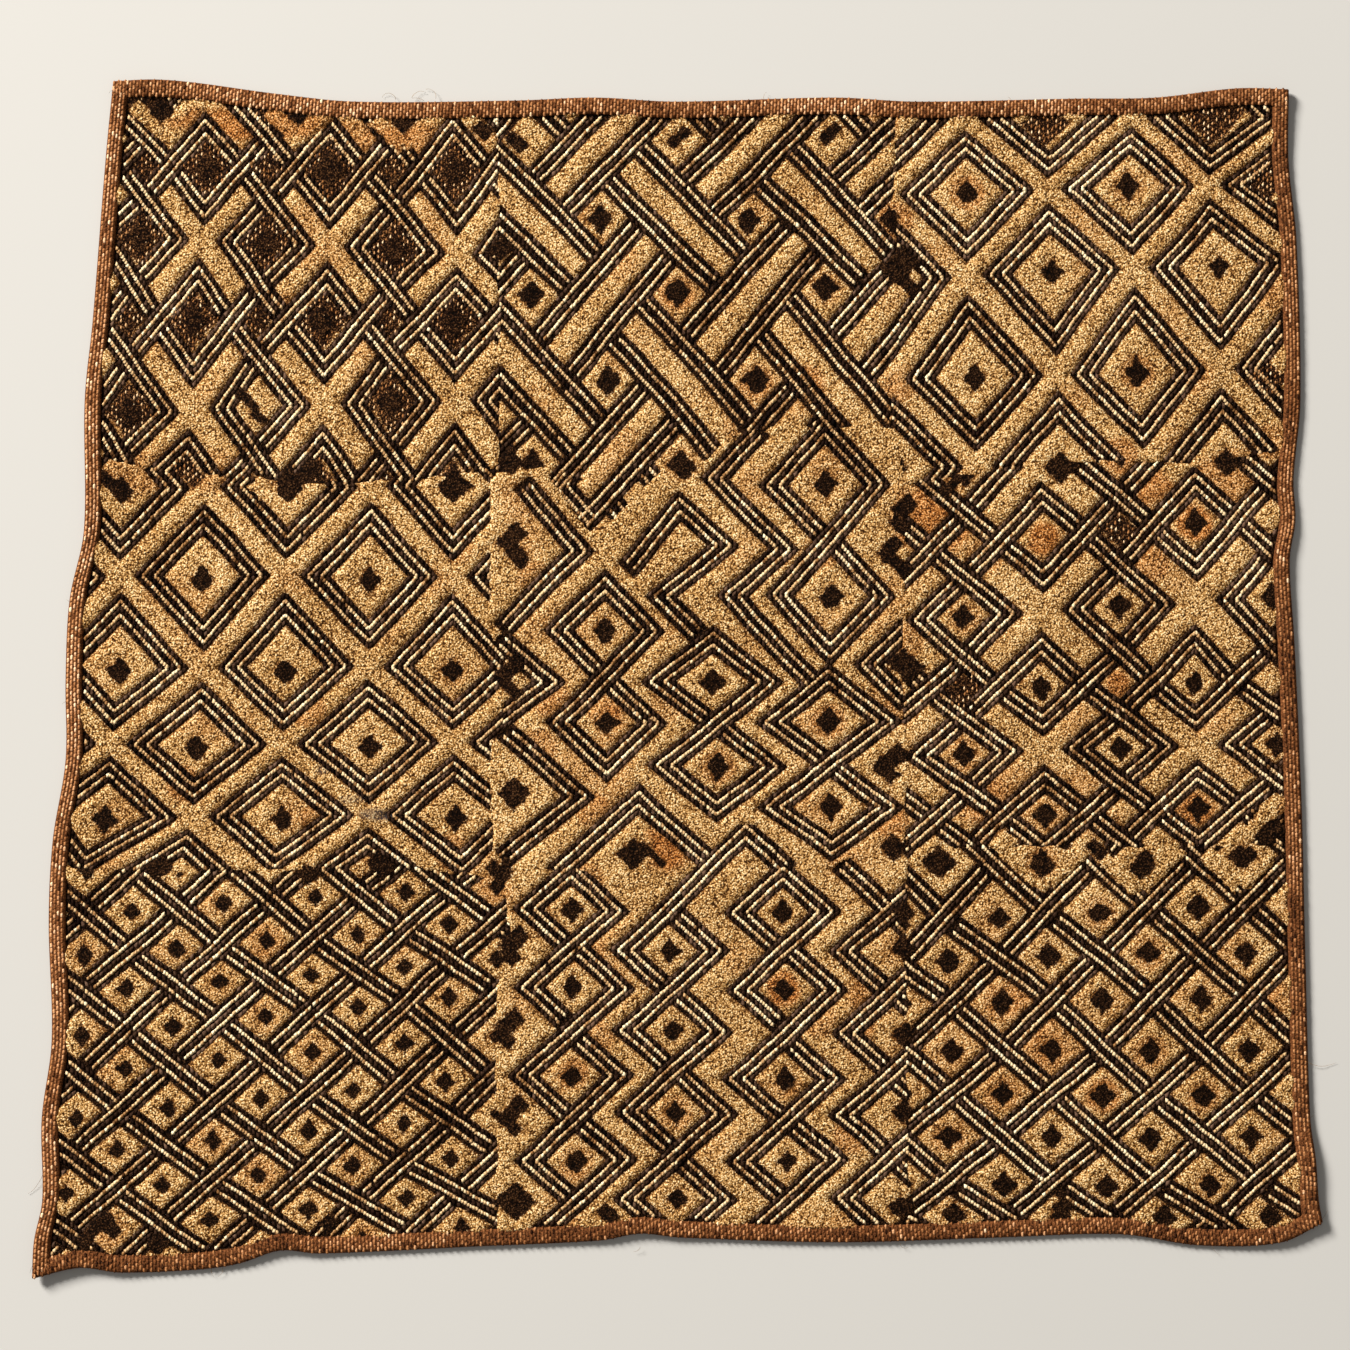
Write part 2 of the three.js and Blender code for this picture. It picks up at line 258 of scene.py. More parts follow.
def closed_field(face: Array, floor: Array) -> tuple[Array, Array, int]:
    """A closed slab with a fine upper face and a coarse lower one.

    Args:
        face: points of the upper face, (rows, columns, 3).
        floor: points of the lower face, whose cells each span a whole number of upper ones.

    Returns:
        The points, the triangles, and how many of the triangles belong to the upper face.
    """
    rows, columns = face.shape[0] - 1, face.shape[1] - 1
    coarse = columns // (floor.shape[1] - 1)
    up = np.arange(face.shape[0] * face.shape[1]).reshape(face.shape[:2])
    low = up.size + np.arange(floor.shape[0] * floor.shape[1]).reshape(floor.shape[:2])

    def cells(grid: Array) -> tuple[Array, Array, Array, Array]:
        """The four corners of each cell, anticlockwise."""
        return grid[:-1, :-1].ravel(), grid[:-1, 1:].ravel(), grid[1:, 1:].ravel(), grid[1:, :-1].ravel()

    a, b, c, d = cells(up)
    turn = (np.add.outer(np.arange(rows), np.arange(columns)) % 2 == 1).ravel()
    first = np.stack([a, b, np.where(turn, d, c)], axis=1)
    second = np.stack([np.where(turn, b, a), c, d], axis=1)
    e, f, g, h = cells(low)
    under = np.concatenate([np.stack([e, g, f], axis=1), np.stack([e, h, g], axis=1)])

    def walk(grid: Array) -> Array:
        """The rim, once round."""
        return np.concatenate([grid[0, :-1], grid[:-1, -1], grid[-1, :0:-1], grid[:0:-1, 0]])

    rim, foot = walk(up), walk(low)
    k = np.arange(len(rim))
    step = k // coarse
    late = (k % coarse) >= coarse // 2
    hub = np.where(late, foot[(step + 1) % len(foot)], foot[step])
    fan = np.stack([hub, rim[(k + 1) % len(rim)], rim[k]], axis=1)
    n = np.arange(len(foot))
    wall = np.stack([foot, foot[(n + 1) % len(foot)], rim[n * coarse + coarse // 2]], axis=1)
    points = np.concatenate([face.reshape(-1, 3), floor.reshape(-1, 3)])
    triangles = np.concatenate([first, second, under, fan, wall])
    return points, triangles, 2 * rows * columns


@dataclass(frozen=True)
class Strands:
    """Many short lengths of raffia, each a closed spindle."""

    stations: tuple[tuple[float, float], ...] = ((0.0, 1.0),)  # place along and girth, as shares

    @property
    def points_each(self) -> int:
        """How many points one spindle has."""
        return 2 + 4 * len(self.stations)

    def build(self, centres: Array, along: Array, half: Array) -> tuple[Array, Array]:
        """Spindles about centres.

        Args:
            centres: middles, (n, 3), millimetres.
            along: directions, (n, 3), of length 1.
            half: half length, half width and half height of each, (n, 3).

        Returns:
            The points and the triangles of all of them.
        """
        side, rise = cross_section(along)
        rings = [centres - along * half[:, :1]]
        for place, girth in self.stations:
            middle = centres + along * half[:, :1] * place
            for turn in range(4):
                east = math.cos(turn * math.pi / 2) * girth
                north = math.sin(turn * math.pi / 2) * girth
                rings.append(middle + side * half[:, 1:2] * east + rise * half[:, 2:3] * north)
        rings.append(centres + along * half[:, :1])
        points = np.stack(rings, axis=1)
        last = points.shape[1] - 1
        pattern = []
        for turn in range(4):
            after = (turn + 1) % 4
            pattern.append((0, 1 + after, 1 + turn))
            for ring in range(len(self.stations) - 1):
                p, q = 1 + 4 * ring, 5 + 4 * ring
                pattern.append((p + turn, p + after, q + after))
                pattern.append((p + turn, q + after, q + turn))
            pattern.append((last - 4 + turn, last - 4 + after, last))
        start = np.arange(len(centres))[:, None, None] * points.shape[1]
        triangles = (start + np.array(pattern)[None]).reshape(-1, 3)
        return points.reshape(-1, 3), triangles


def join(parts: Sequence[tuple[Array, Array]]) -> tuple[Array, Array]:
    """The points and triangles of several meshes as those of one."""
    starts = np.cumsum([0] + [len(points) for points, _ in parts[:-1]])
    triangles = [faces + start for (_, faces), start in zip(parts, starts)]
    return np.concatenate([points for points, _ in parts]), np.concatenate(triangles)


def add_object(name: str, data: bpy.types.ID | None) -> bpy.types.Object:
    """A new object of the scene with its mesh, camera or lamp."""
    made = bpy.data.objects.new(name, data)
    bpy.context.scene.collection.objects.link(made)
    return made


def make_piece(
    name: str,
    parts: tuple[Array, Array],
    material: bpy.types.Material,
    values: Mapping[str, Array],
    smooth_count: int | None = None,
) -> bpy.types.Object:
    """A mesh object from arrays, riding on the cloth's body.

    Args:
        name: the piece's name.
        parts: points in millimetres, (n, 3), and their triangles, (m, 3), anticlockwise from outside.
        material: its finish.
        values: named numbers for each point, or one for all, which the material reads.
        smooth_count: how many triangles, from the first, are shaded smooth. None means all.

    Returns:
        The object.
    """
    points, triangles = parts
    mesh = bpy.data.meshes.new(name)
    mesh.vertices.add(len(points))
    mesh.vertices.foreach_set("co", (points * METRES).astype(np.float32).ravel())
    mesh.loops.add(triangles.size)
    mesh.loops.foreach_set("vertex_index", triangles.astype(np.int32).ravel())
    mesh.polygons.add(len(triangles))
    mesh.polygons.foreach_set("loop_start", np.arange(0, triangles.size, 3, dtype=np.int32))
    soft = np.ones(len(triangles), dtype=bool)
    if smooth_count is not None:
        soft[smooth_count:] = False
    mesh.polygons.foreach_set("use_smooth", soft)
    for key, numbers in values.items():
        attribute = mesh.attributes.new(key, "FLOAT", "POINT")
        filled = np.broadcast_to(np.asarray(numbers, dtype=np.float32).ravel(), len(points))
        attribute.data.foreach_set("value", np.ascontiguousarray(filled))
    mesh.update(calc_edges=True)
    mesh.materials.append(material)
    piece = add_object(name, mesh)
    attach(piece, BODY)
    report.info("%s: %d triangles", name, len(triangles))
    return piece


# Finishes.

Stops = tuple[tuple[float, str], ...]
Row = tuple[str, str, Mapping[str, object], Mapping[str | int, object], str | int]

WHERE: Row = ("where", "TexCoord", {}, {}, "Object")
SCALED = {"operation": "MULTIPLY_ADD"}
COLOURS = {"data_type": "RGBA"}


def linear(code: str) -> tuple[float, float, float, float]:
    """The linear colour of an sRGB hex code such as "8a6a45"."""
    shares = [int(code[i : i + 2], 16) / 255 for i in (0, 2, 4)]
    made = [c / 12.92 if c <= 0.04045 else ((c + 0.055) / 1.055) ** 2.4 for c in shares]
    return made[0], made[1], made[2], 1.0


def per_metre(millimetres: float) -> float:
    """The texture scale whose pattern repeats about once in so many millimetres."""
    return 1000.0 / millimetres


def add_node(
    tree: bpy.types.NodeTree, kind: str, settings: Mapping[str, object], inputs: Mapping[str | int, object]
) -> bpy.types.Node:
    """Adds a node with its settings, and its inputs or links.

    Args:
        tree: the node tree.
        kind: the node's type, after the word ShaderNode.
        settings: properties by name. The stops of a colour ramp are (place, hex colour) rows.
        inputs: a value or an output socket for each input, by name or number.

    Returns:
        The node.
    """
    node = tree.nodes.new("ShaderNode" + kind)
    for key, value in settings.items():
        if key != "stops":
            setattr(node, key, value)
            continue
        ramp = node.color_ramp.elements
        while len(ramp) < len(value):
            ramp.new(0.5)
        for element, (place, code) in zip(ramp, value):
            element.position = place
            element.color = linear(code)
    for key, value in inputs.items():
        if isinstance(value, bpy.types.NodeSocket):
            tree.links.new(value, node.inputs[key])
        else:
            node.inputs[key].default_value = value
    return node


@dataclass(frozen=True)
class Finish:
    """A dry, matt finish with a faint sheen.

    Each of its rows adds one node: a name, the node's kind, its settings and inputs, and which output
    later rows know by the name. The marks are a piece's own numbers. The shader takes colour and bump.
    """

    name: str
    roughness: float = 0.8
    gloss: float = 0.03
    plain: str = ""  # the one colour of a finish without rows
    marks: tuple[str, ...] = ()

    def rows(self) -> Sequence[Row]:
        """The nodes before the shader."""
        return ()

    def build(self) -> bpy.types.Material:
        """The material."""
        material = bpy.data.materials.new(self.name)
        material.use_nodes = True
        tree = material.node_tree
        tree.nodes.clear()
        made: dict[str, object] = {"colour": linear(self.plain)} if self.plain else {}
        for mark in self.marks:
            made[mark] = add_node(tree, "Attribute", {"attribute_name": mark}, {}).outputs["Fac"]
        for name, kind, settings, inputs, output in self.rows():
            given = {key: made[value] if isinstance(value, str) else value for key, value in inputs.items()}
            made[name] = add_node(tree, kind, settings, given).outputs[output]
        looks = {"Roughness": self.roughness, "Specular IOR Level": self.gloss, "IOR": 1.46}
        looks["Base Color"] = made["colour"]
        if "bump" in made:
            looks["Normal"] = made["bump"]
        shader = add_node(tree, "BsdfPrincipled", {}, looks)
        add_node(tree, "OutputMaterial", {}, {"Surface": shader.outputs[0]})
        return material


@dataclass(frozen=True)
class CutPileFinish(Finish):
    """Undyed gold pile and dark dyed ground, parted where the drawing's own measure changes sign.

    Cut raffia ends give a grain of about 0.7 mm in tufts of about 1 mm, light at their tips, with painted
    shade darker in the gaps between tufts; higher clumps are painted lighter.
    """

    name: str = "raffia_cut_pile"
    marks: tuple[str, ...] = ("tone", "clump", "warm", "speck", "stain")
    gold: Stops = ((0.0, "2e1807"), (0.2, "704a24"), (0.42, "aa7e46"), (0.62, "d4a86c"), (0.95, "f6dfb0"))
    orange: Stops = ((0.0, "2a1206"), (0.25, "6a3b18"), (0.5, "a4662f"), (0.75, "c98a4d"), (0.95, "e3b27a"))
    dark: Stops = ((0.0, "060302"), (0.45, "180c05"), (0.75, "2c1a0d"), (1.0, "4c3420"))
    flecked: Stops = ((0.0, "080402"), (0.42, "201008"), (0.62, "3d2413"), (0.8, "6e4a2a"))

    def rows(self) -> Sequence[Row]:
        """Grain, tufts, the four colours of pile, and painted shade between tufts and where gold meets dark.
        """
        side = {"Value": "border", "From Min": -0.3, "From Max": 0.35}
        painted_edge_shade = {"Value": "beside", "From Min": 0.55, "From Max": 0.1, "To Max": 0.4}
        ramps = {"gold": self.gold, "orange": self.orange, "dark": self.dark, "flecked": self.flecked}
        return (
            WHERE,
            ("grain", "TexNoise", {}, {"Vector": "where", "Scale": per_metre(0.7), "Detail": 2.0}, "Fac"),
            ("tuft", "TexVoronoi", {}, {"Vector": "where", "Scale": per_metre(1.0)}, "Distance"),
            ("ragged", "Math", SCALED, {0: "grain", 1: 2.4, 2: -1.2}, 0),
            ("border", "Math", {"operation": "ADD"}, {0: "tone", 1: "ragged"}, 0),
            ("gold_share", "MapRange", {"clamp": True}, side, "Result"),
            ("spread", "Math", SCALED, {0: "grain", 1: 1.8, 2: 0.09}, 0),
            # painted light and shade: higher clumps made lighter, and each tuft darker towards its rim, as
            # shade between tufts
            ("lit", "Math", SCALED, {0: "clump", 1: 0.16, 2: "spread"}, 0),
            ("level", "Math", {**SCALED, "use_clamp": True}, {0: "tuft", 1: -1.12, 2: "lit"}, 0),
            *((key, "ValToRGB", {"stops": stops}, {"Fac": "level"}, "Color") for key, stops in ramps.items()),
            ("warmed", "Mix", COLOURS, {0: "warm", 6: "gold", 7: "orange"}, 2),
            ("deep", "Mix", COLOURS, {0: "speck", 6: "dark", 7: "flecked"}, 2),
            ("parted", "Mix", COLOURS, {0: "gold_share", 6: "deep", 7: "warmed"}, 2),
            # painted shade: a brown band where gold meets dark, for the shaded sloping side of the pile
            ("beside", "Math", {"operation": "ABSOLUTE"}, {0: "border"}, 0),
            ("near", "MapRange", {"clamp": True}, painted_edge_shade, "Result"),
            ("fringed", "Mix", COLOURS, {0: "near", 6: "parted", 7: linear("7a4a22")}, 2),
            ("colour", "Mix", COLOURS, {0: "stain", 6: "fringed", 7: linear("3c3a3d")}, 2),
            ("bump", "Bump", {}, {"Strength": 0.75, "Distance": 0.0005, "Height": "level"}, "Normal"),
        )


@dataclass(frozen=True)
class StrandFinish(Finish):
    """Raffia strands, each its own colour between two, streaked along their length."""

    name: str = "raffia_cord"
    marks: tuple[str, ...] = ("shade",)
    stops: Stops = ((0.0, "412814"), (0.3, "8a623a"), (0.58, "c8a678"), (1.0, "e8d6b0"))

    def rows(self) -> Sequence[Row]:
        """The strand's own shade, and streaks about 0.9 mm apart."""
        return (
            WHERE,
            ("streak", "TexNoise", {}, {"Vector": "where", "Scale": per_metre(0.9), "Detail": 2.0}, "Fac"),
            ("level", "Math", SCALED, {0: "streak", 1: 0.9, 2: -0.45}, 0),
            ("share", "Math", {"operation": "ADD", "use_clamp": True}, {0: "level", 1: "shade"}, 0),
            ("colour", "ValToRGB", {"stops": self.stops}, {"Fac": "share"}, "Color"),
            ("bump", "Bump", {}, {"Strength": 0.5, "Distance": 0.0003, "Height": "streak"}, "Normal"),
        )


@dataclass(frozen=True)
class PlainWeaveFinish(Finish):
    """Plain raffia weave of about nine threads to the centimetre, with the stitches' backs faint in it."""

    name: str = "raffia_plain_weave"
    marks: tuple[str, ...] = ("tone",)
    stops: Stops = ((0.0, "4a3320"), (0.35, "87643c"), (0.7, "b08a58"), (1.0, "cfac78"))

    def rows(self) -> Sequence[Row]:
        """Threads both ways, 1.15 mm apart, under patches of about 2 mm."""
        waves = {"wave_type": "BANDS", "bands_direction": "X"}
        thread = {"Scale": per_metre(1.15) / math.tau, "Distortion": 1.2, "Detail": 1.0}
        behind = {"Value": "tone", "From Min": 0.4, "From Max": -0.8, "To Max": 0.45}
        return (
            WHERE,
            ("patch", "TexNoise", {}, {"Vector": "where", "Scale": per_metre(2.2), "Detail": 3.0}, "Fac"),
            ("turned", "Mapping", {}, {"Vector": "where", "Rotation": (0.0, 0.0, math.pi / 2)}, "Vector"),
            ("warp", "TexWave", waves, {"Vector": "where", **thread}, "Fac"),
            ("weft", "TexWave", waves, {"Vector": "turned", **thread}, "Fac"),
            ("crossed", "Math", {"operation": "MULTIPLY"}, {0: "warp", 1: "weft"}, 0),
            ("level", "Math", {**SCALED, "use_clamp": True}, {0: "patch", 1: 0.6, 2: "crossed"}, 0),
            ("woven", "ValToRGB", {"stops": self.stops}, {"Fac": "level"}, "Color"),
            ("behind", "MapRange", {"clamp": True}, behind, "Result"),
            ("colour", "Mix", COLOURS, {0: "behind", 6: "woven", 7: linear("3a2819")}, 2),
            ("bump", "Bump", {}, {"Strength": 0.6, "Distance": 0.0004, "Height": "crossed"}, "Normal"),
        )


# The drawing: bands of two light cords on a dark strip, laid on gold.


@dataclass(frozen=True)
class Gauge:
    """How wide a band is drawn: the gap between its two light cords' middles and the dark beyond each."""

    gap: float
    margin: float

    @property
    def width(self) -> float:
        """The band's whole width."""
        return self.gap + 2 * self.margin


CLOSE = Gauge(gap=4.15, margin=3.4)
OPEN = Gauge(gap=4.9, margin=3.35)


class CordKind(Enum):
    """How a cord is dyed."""

    LIGHT = "light"
    DARK = "dark"


@dataclass(frozen=True)
class Cord:
    """The middle line of one cord, in millimetres, and the block it is drawn in."""

    points: Array
    block: int
    kind: CordKind


def offset_route(route: Array, aside: float) -> Array:
    """A line beside an open route, with mitred corners.

    Args:
        route: the route's corners, (n, 2).
        aside: how far to its left.

    Returns:
        The corners of the line beside it.
    """
    ahead = np.roll(route, -1, axis=0) - route
    ahead /= np.maximum(np.linalg.norm(ahead, axis=1, keepdims=True), 1e-6)
    behind = np.roll(ahead, 1, axis=0)
    ahead[-1] = behind[-1]
    behind[0] = ahead[0]
    left_ahead = np.stack([-ahead[:, 1], ahead[:, 0]], axis=1)
    left_behind = np.stack([-behind[:, 1], behind[:, 0]], axis=1)
    spread = 1.0 + np.sum(left_ahead * left_behind, axis=1, keepdims=True)
    return route + aside * (left_ahead + left_behind) / np.maximum(spread, 0.3)


# Where the nine blocks of the drawing meet, in plan steps: (y, x) rows down, then (x, y) rows across.
JOINS_DOWN = (
    (
        (95, 497), (250, 498), (330, 499), (470, 500), (482, 491), (640, 492), (652, 503), (728, 503),
        (742, 492), (850, 494), (862, 503), (960, 511), (988, 497), (1250, 497),
    ),
    ((95, 897), (200, 893), (300, 902), (420, 890), (480, 905), (700, 903), (860, 905), (1240, 908)),
)
JOINS_ACROSS = (
    (
        ((90, 455), (160, 470), (300, 484), (420, 480), (505, 468)),
        ((60, 868), (300, 872), (420, 868), (510, 880)),
    ),
    (
        ((490, 474), (540, 468), (594, 540), (668, 466), (692, 474), (735, 432), (800, 425), (900, 430)),
        (
            (490, 868), (600, 872), (690, 872), (737, 824), (757, 822), (790, 852), (830, 868), (866, 850),
            (905, 845),
        ),
    ),
    (
        ((890, 485), (1000, 470), (1100, 462), (1200, 465), (1290, 445)),
        ((900, 848), (1100, 846), (1290, 846)),
    ),
)


class DrawingBoard:
    """The whole design as a fine grid, in which each point knows how far it is from the gold's edge."""

    step = 0.5
    half = np.array([314.0, 294.0])
    plenty = 9.0  # how far inside the gold an empty board is
    uneven = 0.16  # how much a dark centre's size varies, as a share
    covered = 0.6  # what the gold hides of a dark centre, each side
    framed = 0.75  # how warm the frame round some centres is
    frame = (7.0, 10.0)  # where it fades

    def __init__(self) -> None:
        """An empty board: gold all over."""
        self.xs, self.ys = (np.arange(-half, half + self.step, self.step) for half in self.half)
        x, y = np.meshgrid(self.xs, self.ys)
        self.tone = np.full(x.shape, self.plenty, dtype=np.float32)
        self.pile, self.speck, self.warm, self.stain = np.zeros((4, *x.shape), dtype=np.float32)
        self.cords: list[Cord] = []
        self.ragged = noise(x, y, (0.75, 21, 1.6), (0.4, 22, 3.4)).astype(np.float32)
        self.blocks = self._find_blocks(x, y)
        self.open_block(0)

    @staticmethod
    def _find_blocks(x: Array, y: Array) -> Array:
        """The number of the block at each point, counted down each column in turn."""
        plan_x = x / PLAN_STEP + PLAN_MIDDLE[0]
        plan_y = PLAN_MIDDLE[1] - y / PLAN_STEP
        column = sum(plan_x > np.interp(plan_y, *np.array(rows, dtype=float).T) for rows in JOINS_DOWN)
        number = column * 3
        for i, joins in enumerate(JOINS_ACROSS):
            for rows in joins:
                below = plan_y > np.interp(plan_x, *np.array(rows, dtype=float).T)
                number += (column == i) & below
        return number

    def open_block(self, number: int) -> None:
        """What is drawn from here on stays in this block."""
        self.block = number
        self.mask = self.blocks == number

    def _window(self, low: Array, high: Array) -> tuple[tuple[slice, slice], Array, Array]:
        """The part of the grid between two corners, with its x in one row and its y in one column."""
        size = (len(self.xs), len(self.ys))
        first = np.clip(((low + self.half) / self.step).astype(int), 0, size)
        last = np.clip(((high + self.half) / self.step).astype(int) + 2, first, size)
        window = (slice(first[1], last[1]), slice(first[0], last[0]))
        return window, self.xs[window[1]][None, :], self.ys[window[0]][:, None]

    def stamp_line(self, a: Array, b: Array, lean: float, margin: float) -> None:
        """Darkens the strip along a line, square at its ends to the lattice's two ways."""
        reach = margin * 1.5 + 3.0
        window, x, y = self._window(np.minimum(a, b) - reach, np.maximum(a, b) + reach)
        run = b - a
        share = ((x - a[0]) * run[0] + (y - a[1]) * run[1]) / max(float(run @ run), 1e-6)
        share = np.clip(share, 0.0, 1.0)
        p = (x - a[0] - share * run[0]) * math.sin(lean)
        q = (y - a[1] - share * run[1]) * math.cos(lean)
        away = np.maximum(np.abs(p - q), np.abs(p + q)) - margin
        tone = self.tone[window]
        tone[:] = np.where(self.mask[window], np.minimum(tone, away), tone)

    def cord(self, line: Array, kind: CordKind, margin: float, lean: float) -> None:
        """One cord. A light one lies on its dark strip."""
        if kind is CordKind.LIGHT:
            for a, b in zip(line[:-1], line[1:]):
                self.stamp_line(a, b, lean, margin)
        self.cords.append(Cord(line, self.block, kind))

    def band(self, route: Array, gauge: Gauge, lean: float) -> None:
        """A band of two light cords between dark ones, along a route."""
        for k in (-1, 1, -2, 0, 2):
            kind = CordKind.LIGHT if k % 2 else CordKind.DARK
            self.cord(offset_route(route, k * gauge.gap / 2), kind, gauge.margin, lean)

    def diamond(self, centre: Array, half_width: float, half_height: float) -> None:
        """A dark square of pile on its corner, made a little large because the gold leans over it."""
        own = [float(noise(centre[0], centre[1], (1.0, seed, 7.0))) for seed in (24, 25, 26)]
        wide = half_width * (1 + self.uneven * own[0]) + self.covered
        high = half_height * (1 + self.uneven * own[1]) + self.covered
        reach = self.frame[1]
        window, x, y = self._window(centre - reach, centre + reach)
        away = np.hypot(x - centre[0], y - centre[1])
        self.warm[window] += self.framed * max(own[2], 0.0) * (1.0 - smooth(away, *self.frame))
        lean = math.atan2(high, wide)
        half = wide * math.sin(lean)
        self.lozenge(centre, half, half, lean)

    def lozenge(
        self,
        centre: Array,
        half_falling: float,
        half_rising: float,
        lean: float,
        gold: bool = False,
        speck: float = 0.0,
        everywhere: bool = False,
    ) -> None:
        """A ragged lozenge of pile, its sides along the lattice's two ways.

        Args:
            centre: its middle.
            half_falling: half its length along the falling way.
            half_rising: half its length along the rising way.
            lean: the lattice's angle.
            gold: gold pile in place of dark.
            speck: how flecked with tan the dark is; flecked dark lies low, as weave.
            everywhere: not kept to the open block.
        """
        reach = (half_falling + half_rising) * 1.2 + 4.0
        window, x, y = self._window(centre - reach, centre + reach)
        p = (x - centre[0]) * math.sin(lean)
        q = (y - centre[1]) * math.cos(lean)
        rough = min(1.3, min(half_falling, half_rising) / 3.3)
        away = np.maximum(np.abs(p - q) - half_falling, np.abs(p + q) - half_rising)
        away += rough * self.ragged[window]
        kept = self.mask[window] | everywhere
        tone = self.tone[window]
        mixed = np.maximum(tone, -away) if gold else np.minimum(tone, away)
        tone[:] = np.where(kept, mixed, tone)
        if not gold:
            inner = kept & (away < 0.6)
            self.pile[window] = np.where(inner, 1.0 if speck < 0.5 else 0.25, self.pile[window])
            self.speck[window] = np.where(inner, speck, self.speck[window])

    def blush(self, target: Array, patch: tuple[float, ...], size: float) -> None:
        """Adds a soft uneven patch to one of the board's layers.

        Args:
            target: the layer.
            patch: x, y, reach across, reach down and strength, in plan steps.
            size: how large its unevenness is, in millimetres.
        """
        x, y = np.meshgrid(self.xs, self.ys)
        centre = from_plan(patch[:2])
        across, down = patch[2] * PLAN_STEP, patch[3] * PLAN_STEP
        away = np.hypot((x - centre[0]) / across, (y - centre[1]) / down)
        away += noise(x, y, (0.25, 31, size))
        target += (patch[4] * (1.0 - smooth(away, 0.6, 1.2))).astype(np.float32)

    def read(self, layer: Array, x: Array, y: Array) -> Array:
        """A layer's value at points of the finished cloth, straightened from the hand's drift."""
        right, up = hand_drift(x, y)
        gx = np.clip((x - right + self.half[0]) / self.step, 0, len(self.xs) - 1.001)
        gy = np.clip((y - up + self.half[1]) / self.step, 0, len(self.ys) - 1.001)
        ix, iy = gx.astype(int), gy.astype(int)
        fx, fy = gx - ix, gy - iy
        lower = layer[iy, ix] * (1 - fx) + layer[iy, ix + 1] * fx
        upper = layer[iy + 1, ix] * (1 - fx) + layer[iy + 1, ix + 1] * fx
        return lower * (1 - fy) + upper * fy


@dataclass(frozen=True)
class Lattice:
    """A lattice of lozenges drawn by eye. Its rows are (row, y, x of place 0, pitch, tilt) in plan steps.

    A lozenge (u, v) lies u steps down the falling way and v steps up the rising way.
    """

    rows: tuple[tuple[float, float, float, float, float], ...]

    @property
    def table(self) -> Array:
        """Its rows as an array."""
        return np.array(self.rows, dtype=float)

    def place(self, u: Array, v: Array) -> Array:
        """Places on the cloth of lattice places, in millimetres."""
        across = (np.asarray(u, dtype=float) + v) / 2
        down = (np.asarray(u, dtype=float) - v) / 2
        keys, y, x, pitch, tilt = self.table.T
        plan_x = read_line(keys, x, down) + across * read_line(keys, pitch, down)
        plan_y = read_line(keys, y, down) + across * read_line(keys, tilt, down)
        return from_plan(np.stack([plan_x, plan_y], axis=-1))

    def route(self, corners: Route) -> Array:
        """A route given by its lattice places."""
        return self.place(*np.array(corners, dtype=float).T)

    def loop(self, u: float, v: float, half: float) -> Array:
        """A closed lozenge about a lattice place, its first corner again at the end."""
        signs = ((-1, 1), (1, 1), (1, -1), (-1, -1), (-1, 1))
        return self.route([(u + i * half, v + j * half) for i, j in signs])

    @property
    def pitches(self) -> tuple[float, float]:
        """Mean width and height of a lozenge's cell, in millimetres."""
        down, y, _, pitch, _ = self.table.T
        high = (y[-1] - y[0]) / (down[-1] - down[0])
        return float(pitch.mean()) * PLAN_STEP, high * PLAN_STEP

    @property
    def lean(self) -> float:
        """The angle of its ways from level."""
        wide, high = self.pitches
        return math.atan2(high, wide)

    @property
    def unit(self) -> float:
        """Millimetres between neighbouring lines of the lattice."""
        wide, high = self.pitches
        return wide * high / math.hypot(wide, high)

    def lozenges(self, board: DrawingBoard) -> Iterator[tuple[int, int]]:
        """Every lozenge that may touch the board's open block."""
        rows, columns = np.nonzero(board.mask)
        reach = 1.3 * max(self.pitches)
        low = np.array([board.xs[columns.min()], board.ys[rows.min()]]) - reach
        high = np.array([board.xs[columns.max()], board.ys[rows.max()]]) + reach
        for u in range(-6, 18):
            for v in range(-14, 12):
                x, y = self.place(u, v)
                if low[0] < x < high[0] and low[1] < y < high[1]:
                    yield u, v


@dataclass(frozen=True)
class LatticeBlock:
    """A block that is drawn round the lozenges of its lattice."""

    block: int
    lattice: Lattice

    def draw(self, board: DrawingBoard) -> None:
        """Draws the block."""
        board.open_block(self.block)
        self.work(board, list(self.lattice.lozenges(board)), self.lattice.lean, self.lattice.unit)

    def work(self, board: DrawingBoard, found: list[tuple[int, int]], lean: float, unit: float) -> None:
        """Draws the lozenges found, on ways of this lean and lines this far apart."""
        raise NotImplementedError


@dataclass(frozen=True)
class NestedRings(LatticeBlock):
    """Lozenges of two closed light cords each, in a gold lattice, with a dark centre."""

    centre: tuple[float, float]
    bar: float = 8.7
    drop: float = 0.0  # how far the dark centres sit below the middle

    def work(self, board: DrawingBoard, found: list[tuple[int, int]], lean: float, unit: float) -> None:
        """Five cords round each lozenge, then its centre."""
        outer = 0.5 - (self.bar / 2 + CLOSE.margin) / unit
        step = CLOSE.gap / unit / 2
        for u, v in found:
            for k in (-1, 0, 1, 2, 3):
                kind = CordKind.DARK if k % 2 else CordKind.LIGHT
                board.cord(self.lattice.loop(u, v, outer - k * step), kind, CLOSE.margin, lean)
        for u, v in found:
            board.diamond(self.lattice.place(u, v) - (0.0, self.drop), *self.centre)


